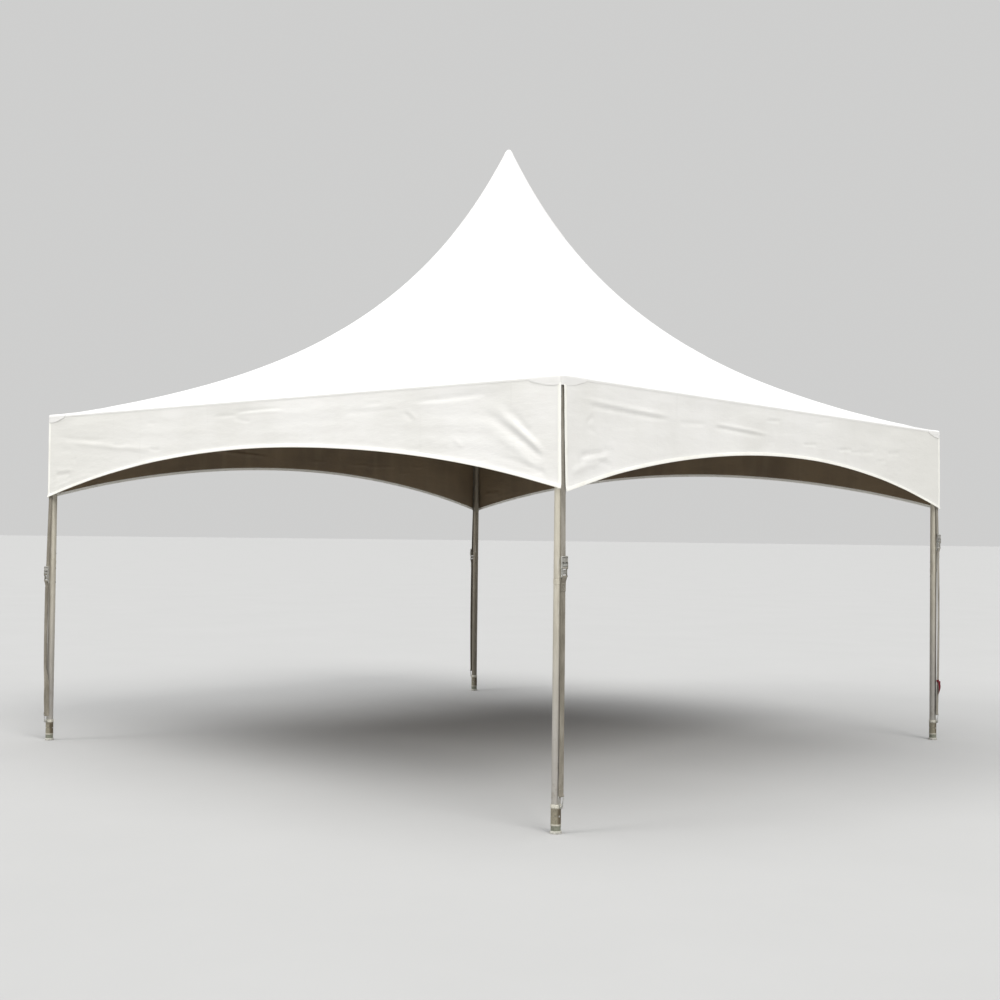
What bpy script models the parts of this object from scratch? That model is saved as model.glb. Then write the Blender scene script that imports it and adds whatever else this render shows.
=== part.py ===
# A high-peak frame marquee on a square plan. Metres, +Z up.
# The origin is on the ground under the peak; the front side faces -Y and the right side +X.

import math

import bmesh
import bpy
from mathutils import Matrix, Vector

# Driving dimensions of the frame
SPAN = 4.572            # leg axis to leg axis, a 15 ft bay
TUBE_R = 0.0241         # tube radius
EAVE_Z = 2.308          # top of the cloth along the eaves
JOINT_Z = 1.280         # where the lower leg ends and the upper leg starts
STRAP_ROOM = 0.007      # room between the frame tubes and the valance, for the straps

# Driving dimensions of the cloth
CLOTH = 0.004           # thickness of the cloth solids
PEAK_RISE = 2.050       # the roof's rise from the eave to the point of its curve
PEAK_Z = 4.330          # top of the blunt peak
HOLLOW = 1.80           # how early the ridges sweep down from the peak
SWEEP = 1.18            # how flat the ridges run out at the eave
RING_R = 0.036          # radius of the ring where the gores meet the peak cap
DROP_MIDDLE = 0.300     # depth of a valance at the middle of its arched hem
DROP_CORNER = 0.578     # depth of a valance at the legs
SLIT_TOP = 0.050        # the corner slit starts this far below the eave
SLIT_BACK = 0.013       # each valance stops this far short of the corner below that

# Driving dimensions of the fittings
ARM = 0.090             # arm of a corner fitting
LUG_REACH = 0.055       # cable lug, from the leg axis inwards
LUG_DROP = 0.020        # cable lug, from the beam axis down
CABLE_R = 0.004
HUB_R = 0.045
HUB_SIDES = 8
HUB_BOTTOM = 2.120
HUB_TOP = 2.165
NECK_R = 0.026          # neck of the peak cap, which sits on the mast
NECK_DEPTH = 0.045
PIN_Z = 0.137           # strap pin through the foot
PIN_R = 0.007
FOOT_TOP = PIN_Z + 0.010
PLATE_R = 0.031         # round base plate of a foot
SPIGOT_R = 0.0255       # spigot that stands on the base plate
SLEEVE_R = 0.0262       # sleeve that the lower leg stands on

# Driving dimensions of the straps
STRAP_WIDTH = 0.038
STRAP_THICK = 0.003
STRAP_AT_TOP = TUBE_R + 0.003   # middle of a strap from the leg axis, behind the valance
STRAP_AT_FOOT = 0.0320          # the same where it hooks over the pin
STRAP_BOW = {"front_right": 0.003, "back_right": 0.012, "back_left": 0.012, "front_left": 0.012}
STRAP_FREE = EAVE_Z - DROP_CORNER - 0.03    # below this height a strap hangs clear of the valance
BUCKLE_HEIGHT = 0.110
BUCKLE_WIDTH = STRAP_WIDTH + 0.004

GAP = 0.0003            # clearance between pieces that touch
SIDES = 16              # sides of a round tube
SQUARE_POWER = 400      # a rounded square of a higher power than this is drawn as a plain square

HALF = SPAN / 2
EDGE = HALF + TUBE_R + STRAP_ROOM + CLOTH
HIP = EDGE * math.sqrt(2)

FACES = {"front": 270, "right": 0, "back": 90, "left": 180}
CORNERS = {
    "front_right": Vector((1, -1)),
    "back_right": Vector((1, 1)),
    "back_left": Vector((-1, 1)),
    "front_left": Vector((-1, -1)),
}
STRAP_SIDE = {
    "front_right": Vector((1, 0, 0)),
    "back_right": Vector((1, 0, 0)),
    "back_left": Vector((-1, 0, 0)),
    "front_left": Vector((0, -1, 0)),
}
BUCKLE_Z = {"front_right": 1.340, "back_right": 1.480, "back_left": 1.300, "front_left": 1.180}


# Materials

def material(name, colour, roughness, metallic=0.0):
    made = bpy.data.materials.new(name)
    made.use_nodes = True
    shader = made.node_tree.nodes["Principled BSDF"]
    shader.inputs["Base Color"].default_value = (*colour, 1.0)
    shader.inputs["Roughness"].default_value = roughness
    shader.inputs["Metallic"].default_value = metallic
    return made


def make_materials():
    return {
        "cloth": material("white_coated_cloth", (0.86, 0.86, 0.83), 0.42),
        "tube": material("dull_aluminium", (0.66, 0.62, 0.53), 0.45, 0.7),
        "casting": material("cast_fitting", (0.52, 0.50, 0.45), 0.55, 0.6),
        "foot": material("worn_steel_foot", (0.38, 0.35, 0.28), 0.60, 0.5),
        "webbing": material("grey_webbing", (0.42, 0.37, 0.32), 0.80),
        "buckle": material("zinc_buckle", (0.55, 0.55, 0.50), 0.40, 0.8),
        "cable": material("wire_rope", (0.45, 0.45, 0.44), 0.45, 0.9),
    }


# Mesh helpers

def finish_object(name, bm, mat, smooth=True, sharp_deg=35):
    bmesh.ops.recalc_face_normals(bm, faces=bm.faces)
    mesh = bpy.data.meshes.new(name)
    bm.to_mesh(mesh)
    bm.free()
    mesh.materials.append(mat)
    if smooth:
        mesh.shade_smooth()
        mesh.set_sharp_from_angle(angle=math.radians(sharp_deg))
    obj = bpy.data.objects.new(name, mesh)
    bpy.context.scene.collection.objects.link(obj)
    return obj


def loft(rings):
    """Skins a list of rings of points, each ring in the same order, into one closed solid."""
    bm = bmesh.new()
    verts = [[bm.verts.new(p) for p in ring] for ring in rings]
    count = len(rings[0])
    for low, high in zip(verts, verts[1:]):
        for i in range(count):
            j = (i + 1) % count
            bm.faces.new((low[i], low[j], high[j], high[i]))
    bm.faces.new(verts[0])
    bm.faces.new(verts[-1])
    return bm


def circle(centre, across, up, radius, sides=SIDES):
    """Points of a ring round centre, in the plane of the two unit vectors."""
    points = []
    for i in range(sides):
        angle = 2 * math.pi * (i + 0.5) / sides
        points.append(centre + across * (radius * math.cos(angle)) + up * (radius * math.sin(angle)))
    return points


def rod(start, end, radius, sides=SIDES):
    """A straight round bar between two points."""
    along = (end - start).normalized()
    side = along.orthogonal().normalized()
    other = along.cross(side)
    return loft([circle(start, side, other, radius, sides), circle(end, side, other, radius, sides)])


def turned(profile, sides=SIDES):
    """A solid turned about Z from (radius, height) points that run up its outer side."""
    rings = [circle(Vector((0, 0, z)), Vector((1, 0, 0)), Vector((0, 1, 0)), r, sides) for r, z in profile]
    return loft(rings)


def join_solids(name, parts, mat):
    """Unites overlapping solids into one body with exact Booleans."""
    body = finish_object(name, parts[0], mat)
    for number, part in enumerate(parts[1:]):
        tool = finish_object(f"{name}_add_{number}", part, mat)
        tool.hide_render = True
        tool.display_type = "WIRE"
        union = body.modifiers.new(f"add_{number}", "BOOLEAN")
        union.operation = "UNION"
        union.solver = "EXACT"
        union.object = tool
        tool.parent = body
    return body


def prism(outline, depth, place):
    """Extrudes a flat outline of (x, z) points along -Y by depth, then places it."""
    bm = bmesh.new()
    front = [bm.verts.new((x, 0, z)) for x, z in outline]
    face = bm.faces.new(front)
    made = bmesh.ops.extrude_face_region(bm, geom=[face])
    moved = [v for v in made["geom"] if isinstance(v, bmesh.types.BMVert)]
    bmesh.ops.translate(bm, verts=moved, vec=(0, depth, 0))
    bmesh.ops.transform(bm, matrix=place, verts=bm.verts)
    return bm


def turn_about_z(degrees):
    return Matrix.Rotation(math.radians(degrees), 4, "Z")


# The roof

def ridge_height(t):
    """Height of the roof where its level line crosses a ridge, t of the way from peak to corner."""
    return EAVE_Z + PEAK_RISE * ((1 - t) / (1 + HOLLOW * t)) ** SWEEP


def level_radius(t, angle):
    """Distance of a level line from the mast: a circle at the peak, the square of the eaves at t = 1."""
    c, s = abs(math.cos(angle)), abs(math.sin(angle))
    if t >= 1:
        return EDGE / max(c, s)
    power = 2 / (1 - t)
    if power > SQUARE_POWER:
        return EDGE * t / max(c, s)
    return EDGE * t * 2 ** (1 / power) / (c ** power + s ** power) ** (1 / power)


def roof_point(t, angle):
    """Outer and inner point of the cloth; the thickness is set off in the upright plane of the angle."""
    r, z = level_radius(t, angle), ridge_height(t)
    if t >= 1:
        return (r, z), (r, z - CLOTH)
    step = 1e-4
    dr = level_radius(min(t + step, 1), angle) - level_radius(t - step, angle)
    dz = ridge_height(min(t + step, 1)) - ridge_height(t - step)
    length = math.hypot(dr, dz)
    if t <= RING_R / HIP + step:
        return (r, z), (r - CLOTH * length / -dz, z)
    return (r, z), (r + CLOTH * dz / length, z - CLOTH * dr / length)


def make_gore(name, facing, mat):
    """One of the four gores, from the ring under the peak down to an eave."""
    columns, rows, crowding = 14, 14, 1.6
    start = RING_R / HIP
    levels = [start + (1 - start) * (j / rows) ** crowding for j in range(rows)]
    levels += [HALF / EDGE, 1.0]
    bm = bmesh.new()
    outer, inner = [], []
    for t in levels:
        skin, lining = [], []
        for i in range(columns + 1):
            local = math.radians(90 * i / columns - 45)
            away = 0.0
            if i in (0, columns):
                away = GAP / 2 if i == 0 else -GAP / 2
            for store, (r, z) in zip((skin, lining), roof_point(t, local)):
                point = Vector((r * math.cos(local), r * math.sin(local), z))
                point += Vector((-math.sin(local), math.cos(local), 0)) * away
                store.append(bm.verts.new(turn_about_z(facing) @ point))
        outer.append(skin)
        inner.append(lining)
    for side in (outer, inner):
        for upper, lower in zip(side, side[1:]):
            for i in range(columns):
                bm.faces.new((upper[i], upper[i + 1], lower[i + 1], lower[i]))
    for row in (0, -1):
        for i in range(columns):
            bm.faces.new((outer[row][i], outer[row][i + 1], inner[row][i + 1], inner[row][i]))
    for column in (0, columns):
        for j in range(len(levels) - 1):
            bm.faces.new((outer[j][column], outer[j + 1][column], inner[j + 1][column], inner[j][column]))
    return finish_object(name, bm, mat)


# The valances

def hem_height(x):
    """Height of the arched hem at x along a side."""
    return EAVE_Z - DROP_MIDDLE - (DROP_CORNER - DROP_MIDDLE) * (x / HALF) ** 2


def make_valance(name, facing, reach, mat):
    """A hanging band with an arched hem; it is slit at both corners below its top strip."""
    steps = 28
    top = EAVE_Z - CLOTH - GAP
    slit = EAVE_Z - SLIT_TOP
    end = EDGE - SLIT_BACK
    outline = [(-reach, top), (-reach, slit), (-end, slit)]
    for i in range(steps + 1):
        x = -end + 2 * end * i / steps
        outline.append((x, hem_height(x)))
    outline += [(end, slit), (reach, slit), (reach, top)]
    place = turn_about_z(facing + 90) @ Matrix.Translation((0, -EDGE, 0))
    return finish_object(name, prism(outline, CLOTH, place), mat, smooth=False)


# The frame

def beam_axis_height():
    """The beams lie right under the cloth where a level line passes over the legs."""
    return ridge_height(HALF / EDGE) - CLOTH - GAP - TUBE_R


def leg_place(corner, z=0.0):
    return Vector((corner.x * HALF, corner.y * HALF, z))


def make_leg(corner_name, corner, beam_z, mats):
    """Both leg tubes of a corner; the lower one carries the joint collar."""
    collar_height, collar_proud = 0.030, 0.0012
    base = leg_place(corner)
    lower = turned([
        (TUBE_R, FOOT_TOP + GAP),
        (TUBE_R, JOINT_Z - collar_height),
        (TUBE_R + collar_proud, JOINT_Z - collar_height + collar_proud),
        (TUBE_R + collar_proud, JOINT_Z - collar_proud),
        (TUBE_R, JOINT_Z),
    ])
    obj = finish_object(f"leg_lower_{corner_name}", lower, mats["tube"])
    obj.location = base
    upper = turned([(TUBE_R, JOINT_Z + GAP), (TUBE_R, beam_z - ARM - GAP)])
    obj = finish_object(f"leg_upper_{corner_name}", upper, mats["tube"])
    obj.location = base


def make_foot(corner_name, corner, mats):
    """Round base plate, spigot, dirty sleeve and top ring, with the pin that the strap hooks over."""
    out = STRAP_SIDE[corner_name]
    chamfer, plate_top = 0.002, 0.013
    rim_bottom, rim_top, rim_proud = 0.038, 0.048, 0.002
    ring_bottom, ring_proud = PIN_Z - 0.010, 0.0018
    body = turned([
        (PLATE_R - chamfer, 0.0),
        (PLATE_R, chamfer),
        (PLATE_R, plate_top - chamfer),
        (PLATE_R - chamfer, plate_top),
        (SPIGOT_R, plate_top + chamfer / 4),
        (SPIGOT_R, rim_bottom),
        (SPIGOT_R + rim_proud, rim_bottom + chamfer),
        (SPIGOT_R + rim_proud, rim_top - chamfer),
        (SLEEVE_R, rim_top),
        (SLEEVE_R, ring_bottom),
        (SLEEVE_R + ring_proud, ring_bottom + chamfer),
        (SLEEVE_R + ring_proud, FOOT_TOP - chamfer),
        (SLEEVE_R, FOOT_TOP),
    ], sides=24)
    head_r, head_thick = PIN_R + 0.0035, 0.007
    reach = strap_offset(corner_name, PIN_Z + head_r) + STRAP_THICK / 2 + GAP
    height = Vector((0, 0, PIN_Z))
    pin = rod(height, height + out * (reach + head_thick / 2), PIN_R, 12)
    head = rod(height + out * reach, height + out * (reach + head_thick), head_r, 12)
    foot = join_solids(f"foot_{corner_name}", [body, pin, head], mats["foot"])
    foot.location = leg_place(corner)


def make_corner(corner_name, corner, beam_z, mats):
    """Corner fitting: one arm down to the leg, one to each beam and a lug for the cable."""
    origin = Vector((0, 0, 0))
    down = rod(Vector((0, 0, -ARM)), origin, TUBE_R)
    ball_rings, pole = 8, math.radians(84)
    latitudes = [pole * (2 * i / (ball_rings - 1) - 1) for i in range(ball_rings)]
    ball = turned([(TUBE_R * math.cos(a), TUBE_R * math.sin(a)) for a in latitudes])
    along_x = rod(origin, Vector((-corner.x * ARM, 0, 0)), TUBE_R)
    along_y = rod(origin, Vector((0, -corner.y * ARM, 0)), TUBE_R)
    inward = Vector((-corner.x, -corner.y, 0)).normalized()
    across = Vector((-inward.y, inward.x, 0))
    lug_root, half_thick = 0.010, 0.005
    low, high = -LUG_DROP - 0.018, -LUG_DROP + 0.016
    rings = []
    for reach in (lug_root, LUG_REACH):
        rings.append([
            inward * reach + across * side + Vector((0, 0, z))
            for side, z in ((-half_thick, low), (half_thick, low), (half_thick, high), (-half_thick, high))
        ])
    lug = loft(rings)
    fitting = join_solids(f"corner_{corner_name}", [down, along_x, along_y, ball, lug], mats["casting"])
    fitting.location = leg_place(corner, beam_z)


def make_beam(name, facing, beam_z, mat):
    length = HALF - ARM - GAP
    bm = rod(Vector((-length, 0, 0)), Vector((length, 0, 0)), TUBE_R)
    bmesh.ops.transform(bm, matrix=turn_about_z(facing + 90) @ Matrix.Translation((0, -HALF, beam_z)),
                        verts=bm.verts)
    return finish_object(name, bm, mat)


def make_mast(mats):
    """Flying mast: the hub that the cables carry, the tube, and the blunt cap that makes the peak."""
    chamfer = 0.004
    hub = turned([(HUB_R - chamfer, HUB_BOTTOM), (HUB_R, HUB_BOTTOM + chamfer),
                  (HUB_R, HUB_TOP - chamfer), (HUB_R - chamfer, HUB_TOP)], sides=HUB_SIDES)
    finish_object("mast_hub", hub, mats["casting"], smooth=False)
    ring_z = ridge_height(RING_R / HIP)
    neck_bottom = ring_z - NECK_DEPTH
    mast = turned([(TUBE_R, HUB_TOP + GAP), (TUBE_R, neck_bottom - GAP)])
    finish_object("mast", mast, mats["tube"])
    dome_rows, tip_r = 5, 0.004
    dome_bottom = ring_z + GAP
    dome = [(NECK_R, neck_bottom), (NECK_R, dome_bottom)]
    for i in range(dome_rows):
        share = i / dome_rows
        dome.append((RING_R * (1 - share), dome_bottom + (PEAK_Z - dome_bottom) * share * (2 - share)))
    dome.append((tip_r, PEAK_Z))
    finish_object("mast_cap", turned(dome), mats["cloth"])


def make_cable(corner_name, corner, beam_z, mat):
    """A taut wire rope from a corner lug down to the hub of the mast."""
    outward = Vector((corner.x, corner.y, 0)).normalized()
    across = Vector((-outward.y, outward.x, 0))
    up = Vector((0, 0, 1))
    hub_flat = HUB_R * math.cos(math.pi / HUB_SIDES)
    near = outward * (hub_flat + GAP) + up * ((HUB_BOTTOM + HUB_TOP) / 2)
    far = outward * (HALF * math.sqrt(2) - LUG_REACH - GAP) + up * (beam_z - LUG_DROP)
    bm = loft([circle(near, across, up, CABLE_R, 8), circle(far, across, up, CABLE_R, 8)])
    return finish_object(f"cable_{corner_name}", bm, mat)


# The straps

def strap_offset(corner_name, z):
    """Distance of a strap's middle from the leg axis at height z; it bows out by STRAP_BOW half way."""
    if z >= STRAP_FREE:
        return STRAP_AT_TOP
    u = max(0.0, (z - PIN_Z) / (STRAP_FREE - PIN_Z))
    bow = STRAP_BOW[corner_name] * math.sin(math.pi * u)
    return STRAP_AT_FOOT + (STRAP_AT_TOP - STRAP_AT_FOOT) * u + bow


def strap_frame(corner_name, corner):
    out = STRAP_SIDE[corner_name]
    across = Vector((-out.y, out.x, 0))
    return leg_place(corner), out, across


def make_strap(corner_name, corner, mat):
    """Webbing from the roof corner down the outer side of a leg to the pin in its foot."""
    base, out, across = strap_frame(corner_name, corner)
    top = EAVE_Z - CLOTH - GAP
    bottom = PIN_Z + PIN_R + GAP
    steps = 18
    rings = []
    for i in range(steps + 1):
        z = bottom + (top - bottom) * i / steps
        middle = strap_offset(corner_name, z)
        ring = []
        for side, depth in ((-1, -1), (1, -1), (1, 1), (-1, 1)):
            offset = out * (middle + depth * STRAP_THICK / 2) + across * (side * STRAP_WIDTH / 2)
            ring.append(base + offset + Vector((0, 0, z)))
        rings.append(ring)
    return finish_object(f"strap_{corner_name}", loft(rings), mat, smooth=False)


def make_buckle(corner_name, corner, mat):
    """Folded ratchet buckle on the outer face of a strap."""
    base, out, across = strap_frame(corner_name, corner)
    z0 = BUCKLE_Z[corner_name]
    half = BUCKLE_HEIGHT / 2
    strap_face = max(strap_offset(corner_name, z) for z in (z0 - half, z0, z0 + half)) + STRAP_THICK / 2
    face = strap_face + GAP
    up = Vector((0, 0, 1))

    def block(width, low, high, near, far):
        rings = []
        for z in (low, high):
            rings.append([
                base + across * (w * width / 2) + out * (face + d) + up * (z0 + z)
                for w, d in ((-1, near), (1, near), (1, far), (-1, far))
            ])
        return loft(rings)

    def bar(z, depth, radius, width):
        middle = base + out * (face + depth) + up * (z0 + z)
        return rod(middle - across * width / 2, middle + across * width / 2, radius, 12)

    spool_r, bar_r = 0.006, 0.0045
    base_plate = block(BUCKLE_WIDTH, -half, half * 0.72, 0.0, 0.003)
    cheeks = block(BUCKLE_WIDTH - 0.004, -half * 0.35, half * 0.55, 0.001, 0.009)
    lever = block(BUCKLE_WIDTH - 0.012, half * 0.30, half * 0.95, 0.0015, 0.0065)
    spool = bar(-half * 0.10, spool_r, spool_r, BUCKLE_WIDTH + 0.006)
    grip = bar(half * 0.90, bar_r + 0.001, bar_r, BUCKLE_WIDTH)
    anchor = bar(-half * 0.88, bar_r, bar_r, BUCKLE_WIDTH + 0.004)
    return join_solids(f"buckle_{corner_name}", [base_plate, cheeks, spool, grip, lever, anchor], mat)


# The whole tent

def build():
    for obj in list(bpy.data.objects):
        bpy.data.objects.remove(obj, do_unlink=True)
    mats = make_materials()
    beam_z = beam_axis_height()
    for face, facing in FACES.items():
        make_gore(f"roof_{face}", facing, mats["cloth"])
        reach = EDGE if face in ("front", "back") else EDGE - CLOTH - GAP
        make_valance(f"valance_{face}", facing, reach, mats["cloth"])
        make_beam(f"eave_{face}", facing, beam_z, mats["tube"])
    for name, corner in CORNERS.items():
        make_leg(name, corner, beam_z, mats)
        make_foot(name, corner, mats)
        make_corner(name, corner, beam_z, mats)
        make_cable(name, corner, beam_z, mats["cable"])
        make_strap(name, corner, mats["webbing"])
        make_buckle(name, corner, mats["buckle"])
    make_mast(mats)


build()
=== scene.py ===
# %% [markdown]
# # A high-peak marquee
# The tent is a square frame of aluminium tubes with a white coated cloth pulled over it. A short mast
# stands on four crossed wire ropes and pushes the cloth up to a point. Each cell below makes one group
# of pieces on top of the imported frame, which already holds the sizes and the places. The meshes are
# rings and grids of points, because that suits cloth, tubes and castings alike.

# %% Load the frame
import math

import bpy
import numpy as np
from mathutils import Matrix, Vector
from mathutils.bvhtree import BVHTree


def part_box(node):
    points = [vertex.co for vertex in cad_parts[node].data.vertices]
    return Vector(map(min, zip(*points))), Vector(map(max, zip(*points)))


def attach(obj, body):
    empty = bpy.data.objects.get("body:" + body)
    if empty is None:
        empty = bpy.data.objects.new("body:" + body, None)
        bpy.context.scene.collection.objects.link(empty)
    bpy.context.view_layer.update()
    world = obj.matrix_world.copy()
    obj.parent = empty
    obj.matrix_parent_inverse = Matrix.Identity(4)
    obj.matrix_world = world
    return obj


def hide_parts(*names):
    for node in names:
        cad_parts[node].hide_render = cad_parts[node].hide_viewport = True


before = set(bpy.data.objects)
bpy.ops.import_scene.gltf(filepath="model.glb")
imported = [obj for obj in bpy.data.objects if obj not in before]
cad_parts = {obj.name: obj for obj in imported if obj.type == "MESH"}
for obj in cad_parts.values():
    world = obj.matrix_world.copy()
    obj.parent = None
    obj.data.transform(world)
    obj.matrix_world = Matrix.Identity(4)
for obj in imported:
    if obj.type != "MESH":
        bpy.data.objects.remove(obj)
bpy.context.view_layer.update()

print("nodes in the frame:", len(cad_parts))

# %% [markdown]
# ## Sizes
# Everything is worked out from a few boxes of the frame: the roof gives the edge of the cloth, the cap
# gives the peak, and one leg gives the corner of the bay. The two numbers of the ridge curve say how
# early the roof sweeps down from the peak and how flat it runs out at the eave.

# %% Sizes from the frame
MM = 0.001
GORE_BELOW_EAVE = 4 * MM        # the solid gores reach this far below the eave
TUBE_SIDES = 16                 # the solid tubes are drawn with this many flats
PIN_BELOW_LEG = 10 * MM         # the pin of a foot sits this far below the leg's end
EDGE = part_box("roof_right")[1][0]
EAVE_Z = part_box("roof_right")[0][2] + GORE_BELOW_EAVE
PEAK_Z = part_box("mast_cap")[1][2]
LEG_LOW, LEG_HIGH = (Vector(corner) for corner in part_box("leg_upper_front_right"))
HALF = (LEG_LOW.x + LEG_HIGH.x) / 2
TUBE_R = (LEG_HIGH.x - LEG_LOW.x) / 2 / math.cos(math.pi / TUBE_SIDES)
JOINT_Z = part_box("leg_lower_front_right")[1][2]
FOOT_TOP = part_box("foot_front_right")[1][2]
BEAM_Z = sum(corner[2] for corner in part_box("eave_front")) / 2
PIN_Z = FOOT_TOP - PIN_BELOW_LEG
HIP = EDGE * math.sqrt(2)
PEAK_RISE, HOLLOW, SWEEP = 2.050, 1.80, 1.18
RING_R = 0.036
DROP_MIDDLE, DROP_CORNER = 0.300, 0.578
SIDES = {"front": 0, "right": 90, "back": 180, "left": 270}
CORNERS = {"front_right": (1, -1), "back_right": (1, 1), "back_left": (-1, 1), "front_left": (-1, -1)}
print(f"edge {EDGE:.4f}, eave {EAVE_Z:.3f}, peak {PEAK_Z:.3f}, leg axis {HALF:.4f}, tube radius {TUBE_R:.4f}")

# %% [markdown]
# ## The camera
# The picture is taken from off the near corner, at about chest height. The place and the three angles
# were fitted to the corners, the feet and the peak, so that the picture and the model agree. A camera
# looks along its own -Z, so its three axes are written straight into the matrix.

# %% Camera
CAMERA_AT = Vector((6.6923, -7.9366, 1.5025))
TURN, TILT, ROLL = (math.radians(angle) for angle in (40.335, 1.3595, 0.6526))
FOCAL_SHARE = 1.41728           # focal length over the width of the picture
SENSOR = 36

look = Vector((-math.sin(TURN) * math.cos(TILT), math.cos(TURN) * math.cos(TILT), math.sin(TILT)))
level = Vector((math.cos(TURN), math.sin(TURN), 0))
upright = level.cross(look)
camera_x = level * math.cos(ROLL) + upright * math.sin(ROLL)
camera_y = upright * math.cos(ROLL) - level * math.sin(ROLL)

lens = bpy.data.cameras.new("camera")
lens.sensor_width = SENSOR
lens.lens = SENSOR * FOCAL_SHARE
camera = bpy.data.objects.new("camera", lens)
turn = Matrix((camera_x, camera_y, -look)).transposed()
camera.matrix_world = Matrix.Translation(CAMERA_AT) @ turn.to_4x4()
bpy.context.scene.collection.objects.link(camera)
bpy.context.scene.camera = camera
print("camera lens", round(lens.lens, 2), "mm")

# %% [markdown]
# ## Shader maths
# A finish is easier to read when its masks are written as sums. `Wire` wraps one socket, so `1 - mask`
# adds the Math node by itself.

# %% Wire
def sign(operation, turned=False):
    """A method for one sign; it is turned where the wire stands on the right of the sign."""
    def work_out(self, other):
        return self.math(operation, other, self) if turned else self.math(operation, self, other)
    return work_out


class Wire:
    """A value socket that can stand in a Python expression."""

    __add__, __radd__ = sign("ADD"), sign("ADD", turned=True)
    __sub__, __rsub__ = sign("SUBTRACT"), sign("SUBTRACT", turned=True)
    __mul__, __rmul__ = sign("MULTIPLY"), sign("MULTIPLY", turned=True)
    __truediv__ = sign("DIVIDE")
    most = sign("MAXIMUM")
    there_and_back = sign("PINGPONG")   # climbs to a value, falls to 0 again, and so on

    def __init__(self, finish, socket):
        self.finish = finish
        self.socket = socket

    def math(self, operation, *values):
        sockets = dict(enumerate(values))
        return self.finish.add("Math", {"operation": operation}, sockets)

    def sine(self):
        return self.math("SINE", self)

    def rise(self, low, high):
        """0 below low and 1 above high, with soft ends; it falls where low is the larger."""
        wanted = {"Value": self, "From Min": low, "From Max": high}
        return self.finish.add("MapRange", {"interpolation_type": "SMOOTHSTEP"}, wanted)


print("a wire can add, take away, multiply, divide, and rise between two levels")

# %% [markdown]
# ## One material in the making
# `Finish` holds the node tree of one material. Its `add` makes any node: the kind, then the settings
# that have to be set first, then what goes into the sockets. The other methods are nodes that nearly
# every finish needs, so a finish reads as a recipe.

# %% Finish
class Finish:
    """A material in the making."""

    def __init__(self, name, **values):
        self.material = bpy.data.materials.new(name)
        self.material.use_nodes = True
        self.tree = self.material.node_tree
        self.shader = self.tree.nodes["Principled BSDF"]
        self.set(**values)

    def plug(self, socket, value):
        if isinstance(value, Wire):
            self.tree.links.new(value.socket, socket)
        elif isinstance(value, (tuple, list)) and len(value) == 3 and socket.type == "RGBA":
            socket.default_value = (*value, 1.0)
        else:
            socket.default_value = value

    def set(self, **values):
        """Sets the shader's sockets: base_color means Base Color."""
        for name, value in values.items():
            words = name.replace("_", " ").title().replace("Ior", "IOR")
            self.plug(self.shader.inputs[words], value)

    def add(self, kind, settings=None, sockets=None, out=0):
        """Adds a node by kind and gives back the output that is asked for."""
        node = self.tree.nodes.new("ShaderNode" + kind)
        for name, value in (settings or {}).items():
            if name == "stops":
                self.set_stops(node.color_ramp, value)
            else:
                setattr(node, name, value)
        for key, value in (sockets or {}).items():
            self.plug(node.inputs[key], value)
        return Wire(self, node.outputs[out])

    @staticmethod
    def set_stops(ramp, stops):
        for number, (place, colour) in enumerate(stops):
            stop = ramp.elements[number] if number < 2 else ramp.elements.new(place)
            stop.position = place
            stop.color = (*colour, 1.0)

    def here(self):
        """Where the point lies in its own object."""
        return self.add("TexCoord", out="Object")

    def parts(self, spot):
        """The x, y and z of a vector, as three values."""
        outputs = self.add("SeparateXYZ", sockets={0: spot}).socket.node.outputs
        return [Wire(self, output) for output in outputs]

    def noise(self, spot, scale, detail=3.0, roughness=0.5):
        """Even noise, or stretched noise where the scale has three values."""
        if isinstance(scale, tuple):
            spot = self.add("VectorMath", {"operation": "MULTIPLY"}, {0: spot, 1: scale})
            scale = 1.0
        wanted = {"Vector": spot, "Scale": scale, "Detail": detail, "Roughness": roughness}
        return self.add("TexNoise", {}, wanted)

    def blend(self, amount, first, second):
        """A colour between two colours."""
        return self.add("Mix", {"data_type": "RGBA"}, {0: amount, 6: first, 7: second}, out=2)

    def relief(self, *layers):
        """Bumps, each one as (height, strength, distance); each one feeds the next."""
        normal = None
        for height, strength, distance in layers:
            wanted = {"Height": height, "Strength": strength, "Distance": distance}
            if normal is not None:
                wanted["Normal"] = normal
            normal = self.add("Bump", {}, wanted)
        self.set(normal=normal)
        return self


print("finishes can be mixed")

# %% [markdown]
# ## Coated cloth
# The cloth is a polyester scrim between two layers of white vinyl. Seen close it has a faint square
# weave and a soft gloss. It was folded for the lorry, so long straight fold marks cross it, and rain
# leaves thin grey runs that end at the hem. Noise stretched along Z gives the runs. The relief is kept
# low, because the real creases are in the mesh.

# %% White outer face
RAIN_GREY = (0.42, 0.41, 0.36)
WEAVE = 1.6 * MM
FOLD_SPACING, FOLD_WIDTH = 0.62, 4 * MM
FLAP_SHADE_FROM, FLAP_SHADE_FULL = EAVE_Z - 3 * MM, EAVE_Z - 14 * MM
FAR_SHARE = 0.75


def weave_height(x, y, z):
    """Threads that cross in three directions, so that any slope of the roof shows a square weave."""
    turn_speed = 2 * math.pi / WEAVE
    return (x * turn_speed).sine() + (y * turn_speed).sine() + (z * turn_speed).sine()


def fold_marks(x, y, z):
    """Thin straight lines where the cloth lay folded."""
    lines = None
    for axis, shift in ((x, 0.37), (y, 0.21), (z, 0.10)):
        phase = (axis + shift).there_and_back(FOLD_SPACING / 2)
        line = phase.rise(FOLD_WIDTH, 0.0)
        lines = line if lines is None else lines.most(line)
    return lines


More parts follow.
